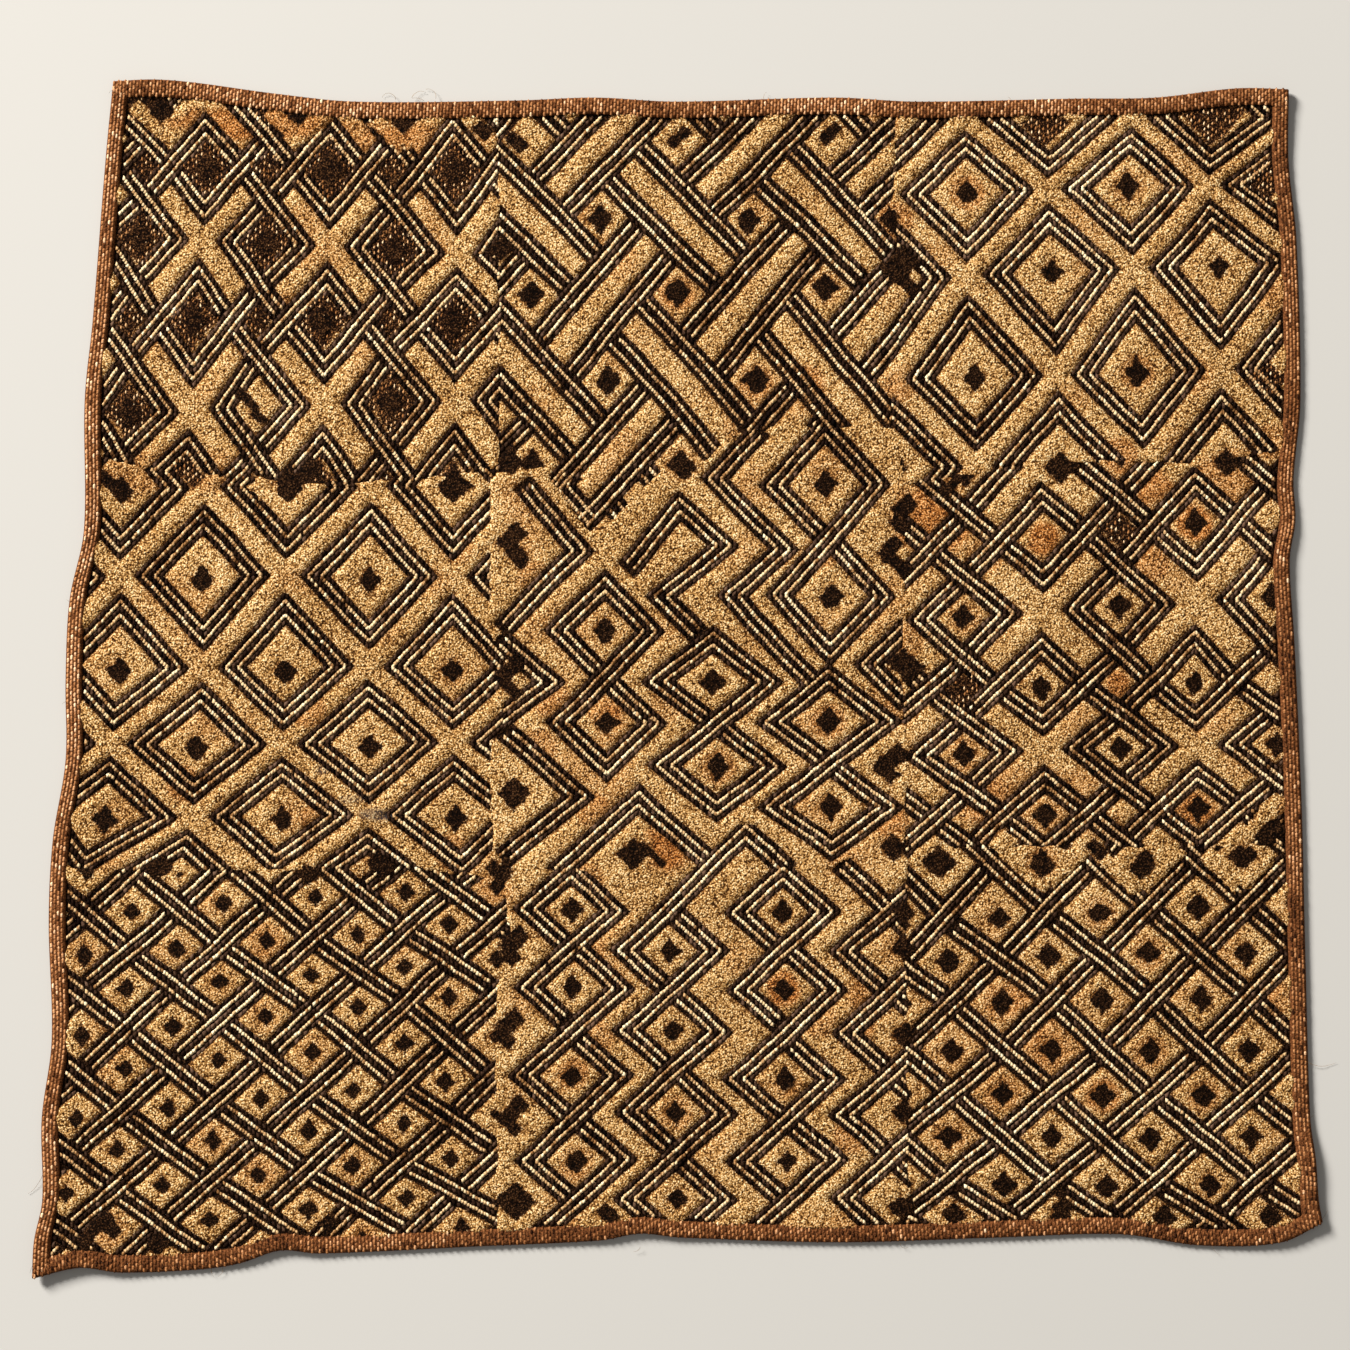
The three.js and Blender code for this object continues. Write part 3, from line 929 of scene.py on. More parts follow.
@dataclass(frozen=True)
class KnotLattice(LatticeBlock):
    """Bands that turn round every lozenge and knot with their neighbours at every other crossing."""

    size: float
    centre: tuple[float, float] | None  # none: the whole heart is dark
    bare: tuple[tuple[int, int], ...] = ()
    dark_knots: tuple[tuple[int, int], ...] | None = None
    heart_edge: float = 0.9  # how far a dark heart runs under its band
    heart_rim: float = 3.1  # how wide a heart's flecked rim is
    knot_edge: float = 0.8

    def routes(self, i: int, j: int) -> list[Route]:
        """The two routes of one lozenge, in lattice places."""
        c = self.size
        w = CLOSE.width / self.lattice.unit / 2
        if (i - j) % 2 == 0:
            return [
                [(i - c, j - 1 + c + w), (i - c, j + c), (i + c - w, j + c)],
                [(i + c, j + 1 - c - w), (i + c, j - c), (i - c + w, j - c)],
            ]
        return [
            [(i + 1 - c - w, j - c), (i - c, j - c), (i - c, j + c - w)],
            [(i - 1 + c + w, j + c), (i + c, j + c), (i + c, j - c + w)],
        ]

    def work(self, board: DrawingBoard, found: list[tuple[int, int]], lean: float, unit: float) -> None:
        """All the bands, then the hearts and the dark squares of the knots."""
        for u, v in found:
            for route in self.routes(u, v):
                board.band(self.lattice.route(route), CLOSE, lean)
        heart = self.size * unit - CLOSE.width / 2
        knot = (0.5 - self.size) * unit - CLOSE.width / 2
        for u, v in found:
            middle = self.lattice.place(u, v)
            if (u, v) not in self.bare and self.centre is not None:
                board.diamond(middle, *self.centre)
            elif (u, v) not in self.bare:
                for half, speck in ((heart + self.heart_edge, 1.0), (heart - self.heart_rim, 0.4)):
                    board.lozenge(middle, half, half, lean, speck=speck)
            dark = self.dark_knots is None or (u, v) in self.dark_knots
            if (u - v) % 2 == 0 and dark:
                half = knot + self.knot_edge
                board.lozenge(self.lattice.place(u + 0.5, v + 0.5), half, half, lean, speck=0.7)


class Over(Enum):
    """Which way's bands pass over at the crossings on whole rows of a basket."""

    RISING = 0
    FALLING = 1


@dataclass(frozen=True)
class Basket(LatticeBlock):
    """Straight bands plaited over and under, with a gold square and a dark centre between them."""

    over: Over
    centre: tuple[float, float]
    bar: float = 0.0
    bare_rows: tuple[float, ...] = ()

    def work(self, board: DrawingBoard, found: list[tuple[int, int]], lean: float, unit: float) -> None:
        """Each crossing's upper band, or pair of bands with a gold bar between, then the centres."""
        asides = (0.0,) if self.bar == 0 else tuple(k * (self.bar + OPEN.width) / 2 / unit for k in (-1, 1))
        whole = (OPEN.width if self.bar == 0 else 2 * OPEN.width + self.bar) / unit
        reach = 1.0 - whole / 2
        for u, v in found:
            rising = ((u - v) % 2 == 0) == (self.over is Over.RISING)
            for aside in asides:
                ends = [(aside, -reach), (aside, reach)] if rising else [(-reach, aside), (reach, aside)]
                corners = [(u + 0.5 + i, v + 0.5 + j) for i, j in ends]
                board.band(self.lattice.route(corners), OPEN, lean)
        for u, v in found:
            if (u - v) / 2 not in self.bare_rows:
                board.diamond(self.lattice.place(u, v), *self.centre)


@dataclass(frozen=True)
class LozengeChain:
    """Lozenges one above another, whose bands run on from one to the next. Centres are in plan steps."""

    centres: Route
    half_width: float | None = None  # of a lozenge, to its band's middle, in plan steps
    centre: tuple[float, float] | None = (6.0, 6.5)
    open_top: bool = False
    open_foot: bool = False

    @property
    def lean(self) -> float:
        """The angle of its ways from level."""
        if self.half_width is None:
            return math.radians(42)
        half_step = (self.centres[-1][1] - self.centres[0][1]) / (len(self.centres) - 1) / 2
        return math.atan2(half_step, self.half_width)

    def draw(self, board: DrawingBoard) -> None:
        """Draws the chain in the open block."""
        lean = self.lean
        places = from_plan(self.centres)
        ways = np.array([(math.cos(lean), -math.sin(lean)), (math.cos(lean), math.sin(lean))])
        steps = np.linalg.norm(np.diff(places, axis=0), axis=1)
        w = CLOSE.width / 2
        last = len(places) - 2
        for k, (here, there) in enumerate(zip(places[:-1], places[1:])):
            h = steps[k] / (4 * math.sin(lean))
            route = [(here, -h + w, h), (here, h, h)]
            if k == 0 and not self.open_top:
                route = [(here, h - w, -h), (here, -h, -h), (here, -h, h), (here, h, h)]
            route.append((there, -h, -h))
            if k == last and not self.open_foot:
                route += [(there, h, -h), (there, h, h), (there, -h + w, h)]
            else:
                route.append((there, h - w, -h))
            corners = [centre + ways[0] * u + ways[1] * v for centre, u, v in route]
            board.band(np.array(corners), CLOSE, lean)
        if self.centre is not None:
            for place in places:
                board.diamond(place, *self.centre)


@dataclass(frozen=True)
class BandDrawing:
    """Single bands of a block, each a list of corners in plan steps."""

    block: int
    routes: tuple[Route, ...]
    chains: tuple[LozengeChain, ...]
    lean: float = math.radians(43)

    def draw(self, board: DrawingBoard) -> None:
        """Draws the block."""
        board.open_block(self.block)
        for route in self.routes:
            board.band(from_plan(route), CLOSE, self.lean)
        for chain in self.chains:
            chain.draw(board)


KNOTS_TOP_LEFT = KnotLattice(
    block=0,
    lattice=Lattice((
        (-0.5, 97, 205, 125, 0), (0, 168, 207, 123, 1.5), (0.5, 241, 203.4, 127.5, 6),
        (1, 321, 194, 130, 0), (1.5, 410, 195, 131, -4), (2, 490, 180, 137, 0),
    )),
    size=0.287,
    centre=None,
    bare=((2, -1),),
)
RINGS_MIDDLE_LEFT = NestedRings(
    block=1,
    lattice=Lattice((
        (-0.5, 487, 205, 166, 0), (0, 577, 203.5, 166.4, 0), (0.5, 667, 202.3, 166.4, 0),
        (1, 744, 196.3, 172, 0), (1.5, 816, 193.5, 175, 0), (2, 889, 172, 195, 0),
    )),
    centre=(6.0, 6.3),
    drop=1.6,
)
BASKET_LOW_LEFT = Basket(
    block=2,
    lattice=Lattice((
        (-0.5, 907, 178, 91, -6), (0, 948.4, 175.9, 91, -7.5), (0.5, 985, 172.5, 92.5, -7),
        (1, 1026.3, 172.9, 92, -9.5), (1.5, 1064.8, 171.5, 93, -8), (2, 1108.8, 168.4, 92, -9),
        (2.5, 1145, 164.5, 95.5, -9), (3, 1183.7, 162.4, 95.5, -9), (3.5, 1224, 163, 97.5, -10.5),
    )),
    over=Over.RISING,
    centre=(4.2, 4.7),
)
BASKET_TOP_MIDDLE = Basket(
    block=3,
    lattice=Lattice((
        (-0.5, 141, 603.5, 151, 0), (0, 220.5, 601, 147, 0), (0.5, 295, 604, 148, -4),
        (1, 382, 606.5, 148, 0), (1.5, 464, 606, 148, 0),
    )),
    over=Over.FALLING,
    centre=(6.2, 7.1),
    bar=10.3,
    bare_rows=(-0.5,),
)
BANDS_MIDDLE = BandDrawing(
    block=4,
    routes=(
        ((629, 566), (679, 506), (723, 547), (660, 596), (696, 632)),
        ((757, 433), (715, 478), (783, 550), (731, 597), (811, 681)),
        ((525, 487), (580, 552), (506, 626)),
        ((508, 734), (579, 798), (502, 860)),
        ((552, 878), (638, 799), (722, 873)),
        ((905, 629), (869, 665), (903, 699)),
        ((503, 641), (549, 682), (498, 722)),
    ),
    chains=(
        LozengeChain(((605, 631), (606, 723)), half_width=46),
        LozengeChain(((713, 681), (716, 766)), half_width=54),
        LozengeChain(((826, 484), (830, 596)), half_width=52),
        LozengeChain(((829, 721), (830, 807)), half_width=57),
    ),
)
SMALL_CENTRE = (5.2, 5.6)
CHAINS_LOW_MIDDLE = BandDrawing(
    block=5,
    routes=(((662, 983), (625, 950), (746, 832), (784, 868)), ((842, 868), (886, 908))),
    chains=(
        LozengeChain(
            ((571, 910.5), (572, 988.6), (573, 1076.4), (575, 1160), (576, 1243)),
            centre=SMALL_CENTRE, open_foot=True,
        ),
        LozengeChain(
            ((671, 950), (673, 1031), (675, 1113), (676, 1200), (677, 1284)),
            centre=SMALL_CENTRE, open_top=True, open_foot=True,
        ),
        LozengeChain(
            ((783, 913), (785, 990), (786, 1078), (787, 1161), (788, 1243)),
            centre=SMALL_CENTRE, open_foot=True,
        ),
        LozengeChain(
            ((890, 870), (890, 952), (892, 1032), (890, 1116), (892, 1200), (893, 1284)),
            centre=None, open_top=True,
        ),
    ),
)
RINGS_TOP_RIGHT = NestedRings(
    block=6,
    lattice=Lattice((
        (-0.5, 118, 965, 166, 0), (0, 193, 966, 161, -5), (0.5, 277, 967.5, 167, -8),
        (1, 378, 973, 165, -5), (1.5, 467, 979, 165, 0),
    )),
    centre=(5.5, 6.6),
)
KNOTS_MIDDLE_RIGHT = KnotLattice(
    block=7,
    lattice=Lattice((
        (-0.5, 465, 1043, 152, -16), (0, 538, 1042, 152, -16), (0.5, 611, 1041, 153.6, -10),
        (1, 687, 1041, 153.6, -4), (1.5, 751, 1041.5, 157.6, -5), (2, 816, 1045, 153.6, -7),
        (2.5, 880, 1046, 153, -7),
    )),
    size=0.277,
    centre=(5.5, 6.3),
    bare=((0, 0),),
    dark_knots=((0, 0), (0, -2)),
)
BASKET_LOW_RIGHT = Basket(
    block=8,
    lattice=Lattice((
        (-0.5, 863, 991, 102, -2), (0, 918, 998, 100, -5), (0.5, 958.7, 997.5, 99.2, -2.8),
        (1, 1002, 1000.8, 99.6, -2), (1.5, 1051, 1001, 98.7, -1), (2, 1094, 1002, 100.5, 0),
        (2.5, 1137, 1000.6, 100.3, 0), (3, 1184.6, 1003.6, 103, 0), (3.5, 1216, 1007, 105, 0),
        (4, 1256, 1008, 105, 0),
    )),
    over=Over.RISING,
    centre=(5.8, 6.1),
)
BAR_ENDS = BandDrawing(
    block=3,
    routes=(((568, 477), (560, 486), (592, 521)),),
    chains=(),
)
BLOCKS = (
    KNOTS_TOP_LEFT, RINGS_MIDDLE_LEFT, BASKET_LOW_LEFT, BASKET_TOP_MIDDLE, BANDS_MIDDLE,
    CHAINS_LOW_MIDDLE, RINGS_TOP_RIGHT, KNOTS_MIDDLE_RIGHT, BASKET_LOW_RIGHT, BAR_ENDS,
)

# Gold arms of half motifs at the top hem and above the lower right block, in plan steps:
# x, y, half along the falling way, half along the rising way.
GOLD_SPOTS = (
    (150, 118, 20, 8), (178, 118, 8, 20), (285, 126, 20, 8), (313, 126, 8, 20), (390, 132, 20, 8),
    (418, 132, 8, 20), (1017, 860, 30, 9), (1069, 862, 9, 30), (1113, 867, 34, 8), (1160, 866, 9, 27),
    (1222, 870, 24, 8),
    (1255, 872, 8, 20), (1262, 822, 8, 34), (1005, 842, 10, 9), (258, 488, 8, 8),
)
# Flecked dark triangles at the right-hand hems, in the same way.
FLECKED_SPOTS = (
    (1044, 124, 17, 17), (1211, 113, 24, 24), (1266, 180, 16, 16), (1268, 380, 14, 14), (190, 472, 15, 8),
)
# Dark pile where blocks meet, in the same way.
DARK_SPOTS = (
    (163, 111, 9, 9), (298, 117, 8, 8), (403, 124, 8, 8), (483, 130, 10, 8),
    (250, 402, 14, 5), (259, 418, 10, 5), (888, 218, 7, 9), (901, 268, 12, 15), (909, 286, 13, 7),
    (501, 251, 9, 9), (511, 462, 10, 10), (1061, 469, 12, 12), (1226, 462, 11, 11), (952, 486, 5, 11),
    (110, 483, 12, 7), (101, 476, 7, 7), (306, 474, 7, 13), (288, 485, 12, 11), (456, 486, 13, 13),
    (512, 538, 9, 15), (518, 556, 14, 8), (508, 672, 8, 14), (512, 690, 12, 6), (515, 795, 12, 13),
    (498, 872, 13, 7), (162, 866, 9, 10), (308, 875, 9, 9), (380, 866, 13, 8), (682, 466, 13, 11),
    (906, 506, 9, 12), (899, 524, 10, 7), (890, 548, 8, 14), (898, 564, 14, 7), (906, 664, 15, 13),
    (893, 758, 9, 16), (886, 770, 14, 8), (633, 853, 12, 13), (652, 853, 17, 4), (504, 872, 8, 9),
    (514, 942, 9, 15), (510, 956, 11, 7), (510, 1024, 9, 15), (504, 1038, 13, 7), (514, 1110, 9, 15),
    (509, 1124, 13, 7), (515, 1200, 15, 15), (608, 1215, 12, 8), (892, 848, 11, 11), (905, 912, 8, 8),
    (903, 947, 9, 9),
    (905, 1033, 9, 10), (904, 1112, 9, 9), (901, 1208, 10, 10), (938, 863, 13, 13), (1043, 867, 10, 10),
    (1096, 849, 11, 7), (1141, 865, 11, 11), (1240, 859, 11, 9), (1270, 834, 10, 14), (98, 1229, 6, 22),
    (161, 1244, 9, 9), (329, 1223, 8, 8), (952, 1214, 9, 9), (1061, 1207, 9, 9), (516, 143, 12, 7),
    (680, 138, 6, 13), (830, 134, 6, 13),
)
# Warm orange-brown zones of the gold: x, y, reach across, reach down, strength, plan steps.
WARM_ZONES = (
    (932, 520, 42, 40, 0.9), (1042, 540, 17, 17, 1.0), (1194, 523, 17, 17, 0.9), (1118, 685, 14, 14, 0.9),
    (1140, 490, 34, 22, 0.8), (260, 122, 90, 20, 0.8), (410, 140, 80, 20, 0.7), (572, 1076, 18, 18, 0.7),
    (786, 990, 18, 18, 0.7), (862, 1015, 18, 42, 0.7), (668, 848, 26, 24, 1.0), (180, 470, 90, 26, 0.4),
    (1040, 800, 90, 40, 0.45), (552, 700, 26, 22, 0.7), (1230, 480, 50, 30, 0.6), (1000, 1040, 120, 90, 0.3),
)
# Old stains: x, y, reach across, reach down, strength, plan steps.
STAINS = ((376, 815, 20, 7, 0.55), (322, 770, 8, 5, 0.35), (352, 800, 14, 5, 0.3))


def draw_design() -> DrawingBoard:
    """The whole design on one board."""
    board = DrawingBoard()
    for block in BLOCKS:
        block.draw(board)
    lean = math.radians(44)
    kinds = ((GOLD_SPOTS, True, 0.0), (FLECKED_SPOTS, False, 0.9), (DARK_SPOTS, False, 0.15))
    for spots, gold, speck in kinds:
        for x, y, falling, rising in spots:
            sizes = (falling * PLAN_STEP, rising * PLAN_STEP)
            board.lozenge(from_plan((x, y)), *sizes, lean, gold=gold, speck=speck, everywhere=True)
    for layer, patches, size in ((board.warm, WARM_ZONES, 6.0), (board.stain, STAINS, 3.0)):
        for patch in patches:
            board.blush(layer, patch, size)
    return board


@dataclass
class WovenGround:
    """The woven panel itself, seen from below and at its rim."""

    board: DrawingBoard
    cells: tuple[int, int] = (168, 152)
    coarse: int = 4
    thickness: float = 0.6
    cut: tuple[float, float] = (0.615, 0.566)  # metres, hem turned out

    def build(self) -> bpy.types.Object:
        """The panel, its fine face down on the floor."""
        columns, rows = self.cells
        s, t = OUTLINE.shares(FOLD_UNDERCUT, columns, rows)
        s, t = np.meshgrid(s, t)
        x, y = OUTLINE.place(s, t)
        lift = OUTLINE.lift(x, y, OUTLINE.margin(s, t))
        lower = np.stack([x, y, lift], axis=-1)
        k = self.coarse
        upper = lower[::k, ::k] + (0.0, 0.0, self.thickness)
        points, triangles, count = closed_field(lower, upper)
        tone = self.board.read(self.board.tone, points[:, 0], points[:, 1])
        finish = PlainWeaveFinish().build()
        piece = make_piece("woven_ground", (points, triangles[:, ::-1]), finish, {"tone": tone}, count)
        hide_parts(NODE)
        return piece


@dataclass
class CutPile:
    """The embroidered face between the hems: gold pile standing over the dark stitched strips."""

    board: DrawingBoard
    # Each column's first and last line, of the lines across the whole face, without its laps.
    spans: tuple[tuple[int, int], ...] = ((0, 166), (166, 330), (330, 496))
    rows: int = 480
    coarse: int = 12
    laps: tuple[float, float] = (0.05, 0.5)  # how far a column's two lapping lines lie under its neighbour
    foot: float = 0.5
    strip_top: float = 1.25
    dark_top: float = 2.0
    dark_tuft: float = 0.16
    gold_top: float = 2.45
    gold_tuft: float = 0.3
    gold_edge: tuple[float, float] = (-0.55, 0.75)  # over which the dark gives way to gold
    low_edge: float = 0.82  # the gold's height at its edge, as a share
    shoulder: float = 3.0  # how far in it stands at full height

    def heights(self, x: Array, y: Array, s: Array, t: Array) -> tuple[Array, dict[str, Array]]:
        """The face's height at points, and what its finish reads there."""
        board = self.board
        tone = board.read(board.tone, x, y)
        pile = board.read(board.pile, x, y)
        clump = noise(x, y, (0.6, 41, 1.25), (0.55, 42, 2.1))
        slow = noise(x, y, (1.0, 43, 34.0))
        patchy = 0.35 * smooth(noise(x, y, (1.0, 44, 22.0)) + 0.4 * slow, 0.3, 1.0)
        gold = smooth(tone + 0.5 * clump, *self.gold_edge)
        crown = self.low_edge + (1.0 - self.low_edge) * smooth(tone, 0.0, self.shoulder)
        dark_face = self.strip_top + pile * (self.dark_top - self.strip_top) + self.dark_tuft * clump
        gold_face = self.gold_top * crown + self.gold_tuft * clump + 0.1 * slow
        height = dark_face + gold * (gold_face - dark_face)
        lift = OUTLINE.lift(x, y, OUTLINE.margin(s, t))
        values = {
            "tone": tone,
            # the clump value also paints higher pile lighter in the finish
            "clump": clump + 0.35 * slow,
            "warm": np.clip(board.read(board.warm, x, y) + patchy, 0.0, 1.0),
            "speck": board.read(board.speck, x, y),
            "stain": np.clip(board.read(board.stain, x, y), 0.0, 0.8),
        }
        return lift + height, values

    def build(self) -> list[bpy.types.Object]:
        """The face in columns, side by side."""
        finish = CutPileFinish().build()
        lines = self.spans[-1][1]
        all_s, all_t = OUTLINE.shares(PILE_START, lines, self.rows)
        pieces = []
        for column, (first, last) in enumerate(self.spans):
            before = 0 if first == 0 else len(self.laps)
            after = 0 if last == lines else len(self.laps)
            s, t = np.meshgrid(all_s[first - before : last + after + 1], all_t)
            x, y = OUTLINE.place(s, t)
            z, values = self.heights(x, y, s, t)
            for k, drop in enumerate(self.laps):
                if before:
                    z[:, 1 - k] -= drop
                if after:
                    z[:, k - 2] -= drop
            face = np.stack([x, y, z], axis=-1)
            k = self.coarse
            below = OUTLINE.lift(x, y, OUTLINE.margin(s, t))[::k, ::k] + self.foot
            floor = np.stack([x[::k, ::k], y[::k, ::k], below], axis=-1)
            *parts, count = closed_field(face, floor)
            filled = {key: np.concatenate([v.ravel(), v[::k, ::k].ravel()]) for key, v in values.items()}
            pieces.append(make_piece(f"cut_pile_{column + 1}", parts, finish, filled, count))
        return pieces


@dataclass(frozen=True)
class Stitch:
    """The stitch a kind of cord is made of, in millimetres. Pairs are for rising and falling cords."""

    name: str
    finish: StrandFinish
    pitch: tuple[float, float]
    half_length: tuple[float, float]
    half_width: tuple[float, float]
    half_height: float
    middle: float
    turn: tuple[float, float]
    missing: tuple[float, float]
    shade: tuple[float, float]
    edge: float  # how far inside the dark strip its middle stays


STITCHES = {
    CordKind.LIGHT: Stitch(
        name="light_cords",
        finish=StrandFinish(),
        pitch=(1.7, 1.55),
        half_length=(1.6, 1.6),
        half_width=(0.98, 1.06),
        half_height=0.6,
        middle=1.66,
        turn=(0.42, -0.36),
        missing=(0.004, 0.008),
        shade=(0.55, 0.55),
        edge=0.8,
    ),
    CordKind.DARK: Stitch(
        name="dyed_cords",
        finish=StrandFinish(
            "raffia_dyed_cord", stops=((0.0, "070302"), (0.4, "1e110a"), (0.7, "36251a"), (1.0, "5e4738"))
        ),
        pitch=(2.7, 2.7),
        half_length=(2.2, 2.2),
        half_width=(1.2, 1.1),
        half_height=0.5,
        middle=1.42,
        turn=(0.33, -0.38),
        missing=(0.0, 0.02),
        # painted light: rising dyed cords are made lighter than falling ones, as lit from the upper left
        shade=(0.6, 0.45),
        edge=0.85,
    ),
}


@dataclass
class StitchedCords:
    """The cords: rows of slanted stitches, light ones between dark ones."""

    board: DrawingBoard
    clear_of_hem: float = 8.8
    most: int = 23750  # stitches in one piece
    turn_varies: float = 0.08
    climb: tuple[float, float] = (0.1, 0.04)  # mean and spread
    strays: float = 0.1
    height_varies: float = 0.06
    length_share: tuple[float, float] = (0.86, 1.14)
    width_share: tuple[float, float] = (0.82, 1.14)
    shade_varies: float = 0.18

    def stitches(self, kind: CordKind, stitch: Stitch) -> tuple[Array, Array, Array, Array]:
        """Middle, direction, half sizes and shade of every stitch of one kind."""
        rng = np.random.default_rng(5)
        rows = []
        for cord in self.board.cords:
            if cord.kind is not kind:
                continue
            for a, b in zip(cord.points[:-1], cord.points[1:]):
                length = float(np.hypot(*(b - a)))
                way = (b - a) / max(length, 1e-6)
                if way[0] < 0:
                    way = -way
                count = max(int(round(length / stitch.pitch[int(way[1] < 0)])), 1)
                share = (np.arange(count) + 0.5) / count
                middles = a + share[:, None] * (b - a)
                rows.append(np.column_stack([middles, np.tile((*way, cord.block), (count, 1))]))
        x, y, way_x, way_y, block = np.concatenate(rows).T
        board = self.board
        ix = np.clip(((x + board.half[0]) / board.step).astype(int), 0, len(board.xs) - 1)
        iy = np.clip(((y + board.half[1]) / board.step).astype(int), 0, len(board.ys) - 1)
        kept = board.blocks[iy, ix] == block
        dark = board.tone[iy, ix] < -stitch.edge
        covered = board.pile[iy, ix] > 0.5
        right, up = hand_drift(x, y)
        x, y = x + right, y + up
        inside = OUTLINE.inside(x, y) > self.clear_of_hem
        missing = rng.uniform(size=len(x)) < np.where(way_y > 0, *stitch.missing)
        chosen = kept & dark & inside & ~covered & ~missing
        x, y, way_x, way_y = x[chosen], y[chosen], way_x[chosen], way_y[chosen]
        rising = way_y > 0
        count = len(x)
        angle = np.arctan2(way_y, way_x) + np.where(rising, *stitch.turn)
        angle += rng.normal(0.0, self.turn_varies, count)
        climb = rng.normal(*self.climb, count)
        level = np.cos(climb)
        along = np.column_stack([np.cos(angle) * level, np.sin(angle) * level, np.sin(climb)])
        aside = rng.normal(0.0, self.strays, count)
        z = OUTLINE.lift_at(x, y) + stitch.middle + rng.normal(0.0, self.height_varies, count)
        centres = np.stack([x - way_y * aside, y + way_x * aside, z], axis=1)
        half_length = np.where(rising, *stitch.half_length) * rng.uniform(*self.length_share, count)
        half_width = np.where(rising, *stitch.half_width) * rng.uniform(*self.width_share, count)
        half = np.column_stack([half_length, half_width, np.full(count, stitch.half_height)])
        worn = noise(x, y, (0.18, 51, 55.0), (0.12, 52, 9.0))
        shade = np.where(rising, *stitch.shade) + worn + rng.normal(0.0, self.shade_varies, count)
        return centres, along, half, shade

    def build(self) -> list[bpy.types.Object]:
        """The cords, in as many pieces as their triangles need."""
        maker = Strands()
        pieces = []
        for kind, stitch in STITCHES.items():
            finish = stitch.finish.build()
            centres, along, half, shade = self.stitches(kind, stitch)
            groups = math.ceil(len(centres) / self.most)
            for number, rows in enumerate(np.array_split(np.argsort(centres[:, 0]), groups)):
                parts = maker.build(centres[rows], along[rows], half[rows])
                values = {"shade": np.repeat(shade[rows], maker.points_each)}
                pieces.append(make_piece(f"{stitch.name}_{number + 1}", parts, finish, values))
        return pieces


@dataclass
class GroundFlecks:
    """Threads of the woven ground that show as upright tan flecks between dark stitches."""

    board: DrawingBoard
    across: float = 2.0
    down: float = 2.9
    middle: float = 1.5
    stops: Stops = ((0.0, "48290f"), (0.45, "9c683c"), (0.75, "c79e70"), (1.0, "e4cda8"))

    def build(self) -> bpy.types.Object:
        """The flecks as one piece."""
        rng = np.random.default_rng(55)
        xs = np.arange(-300.0, 300.0, self.across)
        ys = np.arange(-280.0, 280.0, self.down)
        i, j = np.meshgrid(np.arange(len(xs)), np.arange(len(ys)), indexing="ij")
        x = (xs[i] + rng.normal(0.0, 0.2, i.shape)).ravel()
        y = (ys[j] + 0.5 * self.down * (i % 2) + rng.normal(0.0, 0.25, i.shape)).ravel()
        speck = self.board.read(self.board.speck, x, y)
        tone = self.board.read(self.board.tone, x, y)
        share = np.select([speck > 0.8, speck > 0.55, speck > 0.3], [0.88, 0.6, 0.14], 0.0)
        chosen = (rng.uniform(size=x.size) < share) & (tone < -0.5) & (OUTLINE.inside(x, y) > 8.6)
        x, y = x[chosen], y[chosen]
        count = len(x)
        z = OUTLINE.lift_at(x, y) + self.middle + 0.2 * (speck[chosen] < 0.5)
        angle = rng.normal(math.pi / 2, 0.12, count)
        along = np.column_stack([np.cos(angle), np.sin(angle), np.zeros(count)])
        half_length = rng.uniform(1.0, 1.45, count)
        half_width = rng.uniform(0.45, 0.66, count)
        half = np.column_stack([half_length, half_width, np.full(count, 0.5)])
        finish = StrandFinish("raffia_ground_thread", stops=self.stops).build()
        maker = Strands()
        parts = maker.build(np.column_stack([x, y, z]), along, half)
        shade = np.repeat(rng.uniform(0.2, 0.9, count), maker.points_each)
        return make_piece("ground_flecks", parts, finish, {"shade": shade})


class Side(Enum):
    """A side of the cloth, with the height that its hem's lap gives it at the corners."""

    BOTTOM = 0.0
    RIGHT = 0.1
    LEFT = 0.2
    TOP = 0.35

    @property
    def level(self) -> bool:
        """Whether it runs across the cloth."""
        return self in (Side.BOTTOM, Side.TOP)

    @property
    def length(self) -> float:
        """Its mean length in millimetres."""
        return OUTLINE.width if self.level else OUTLINE.length


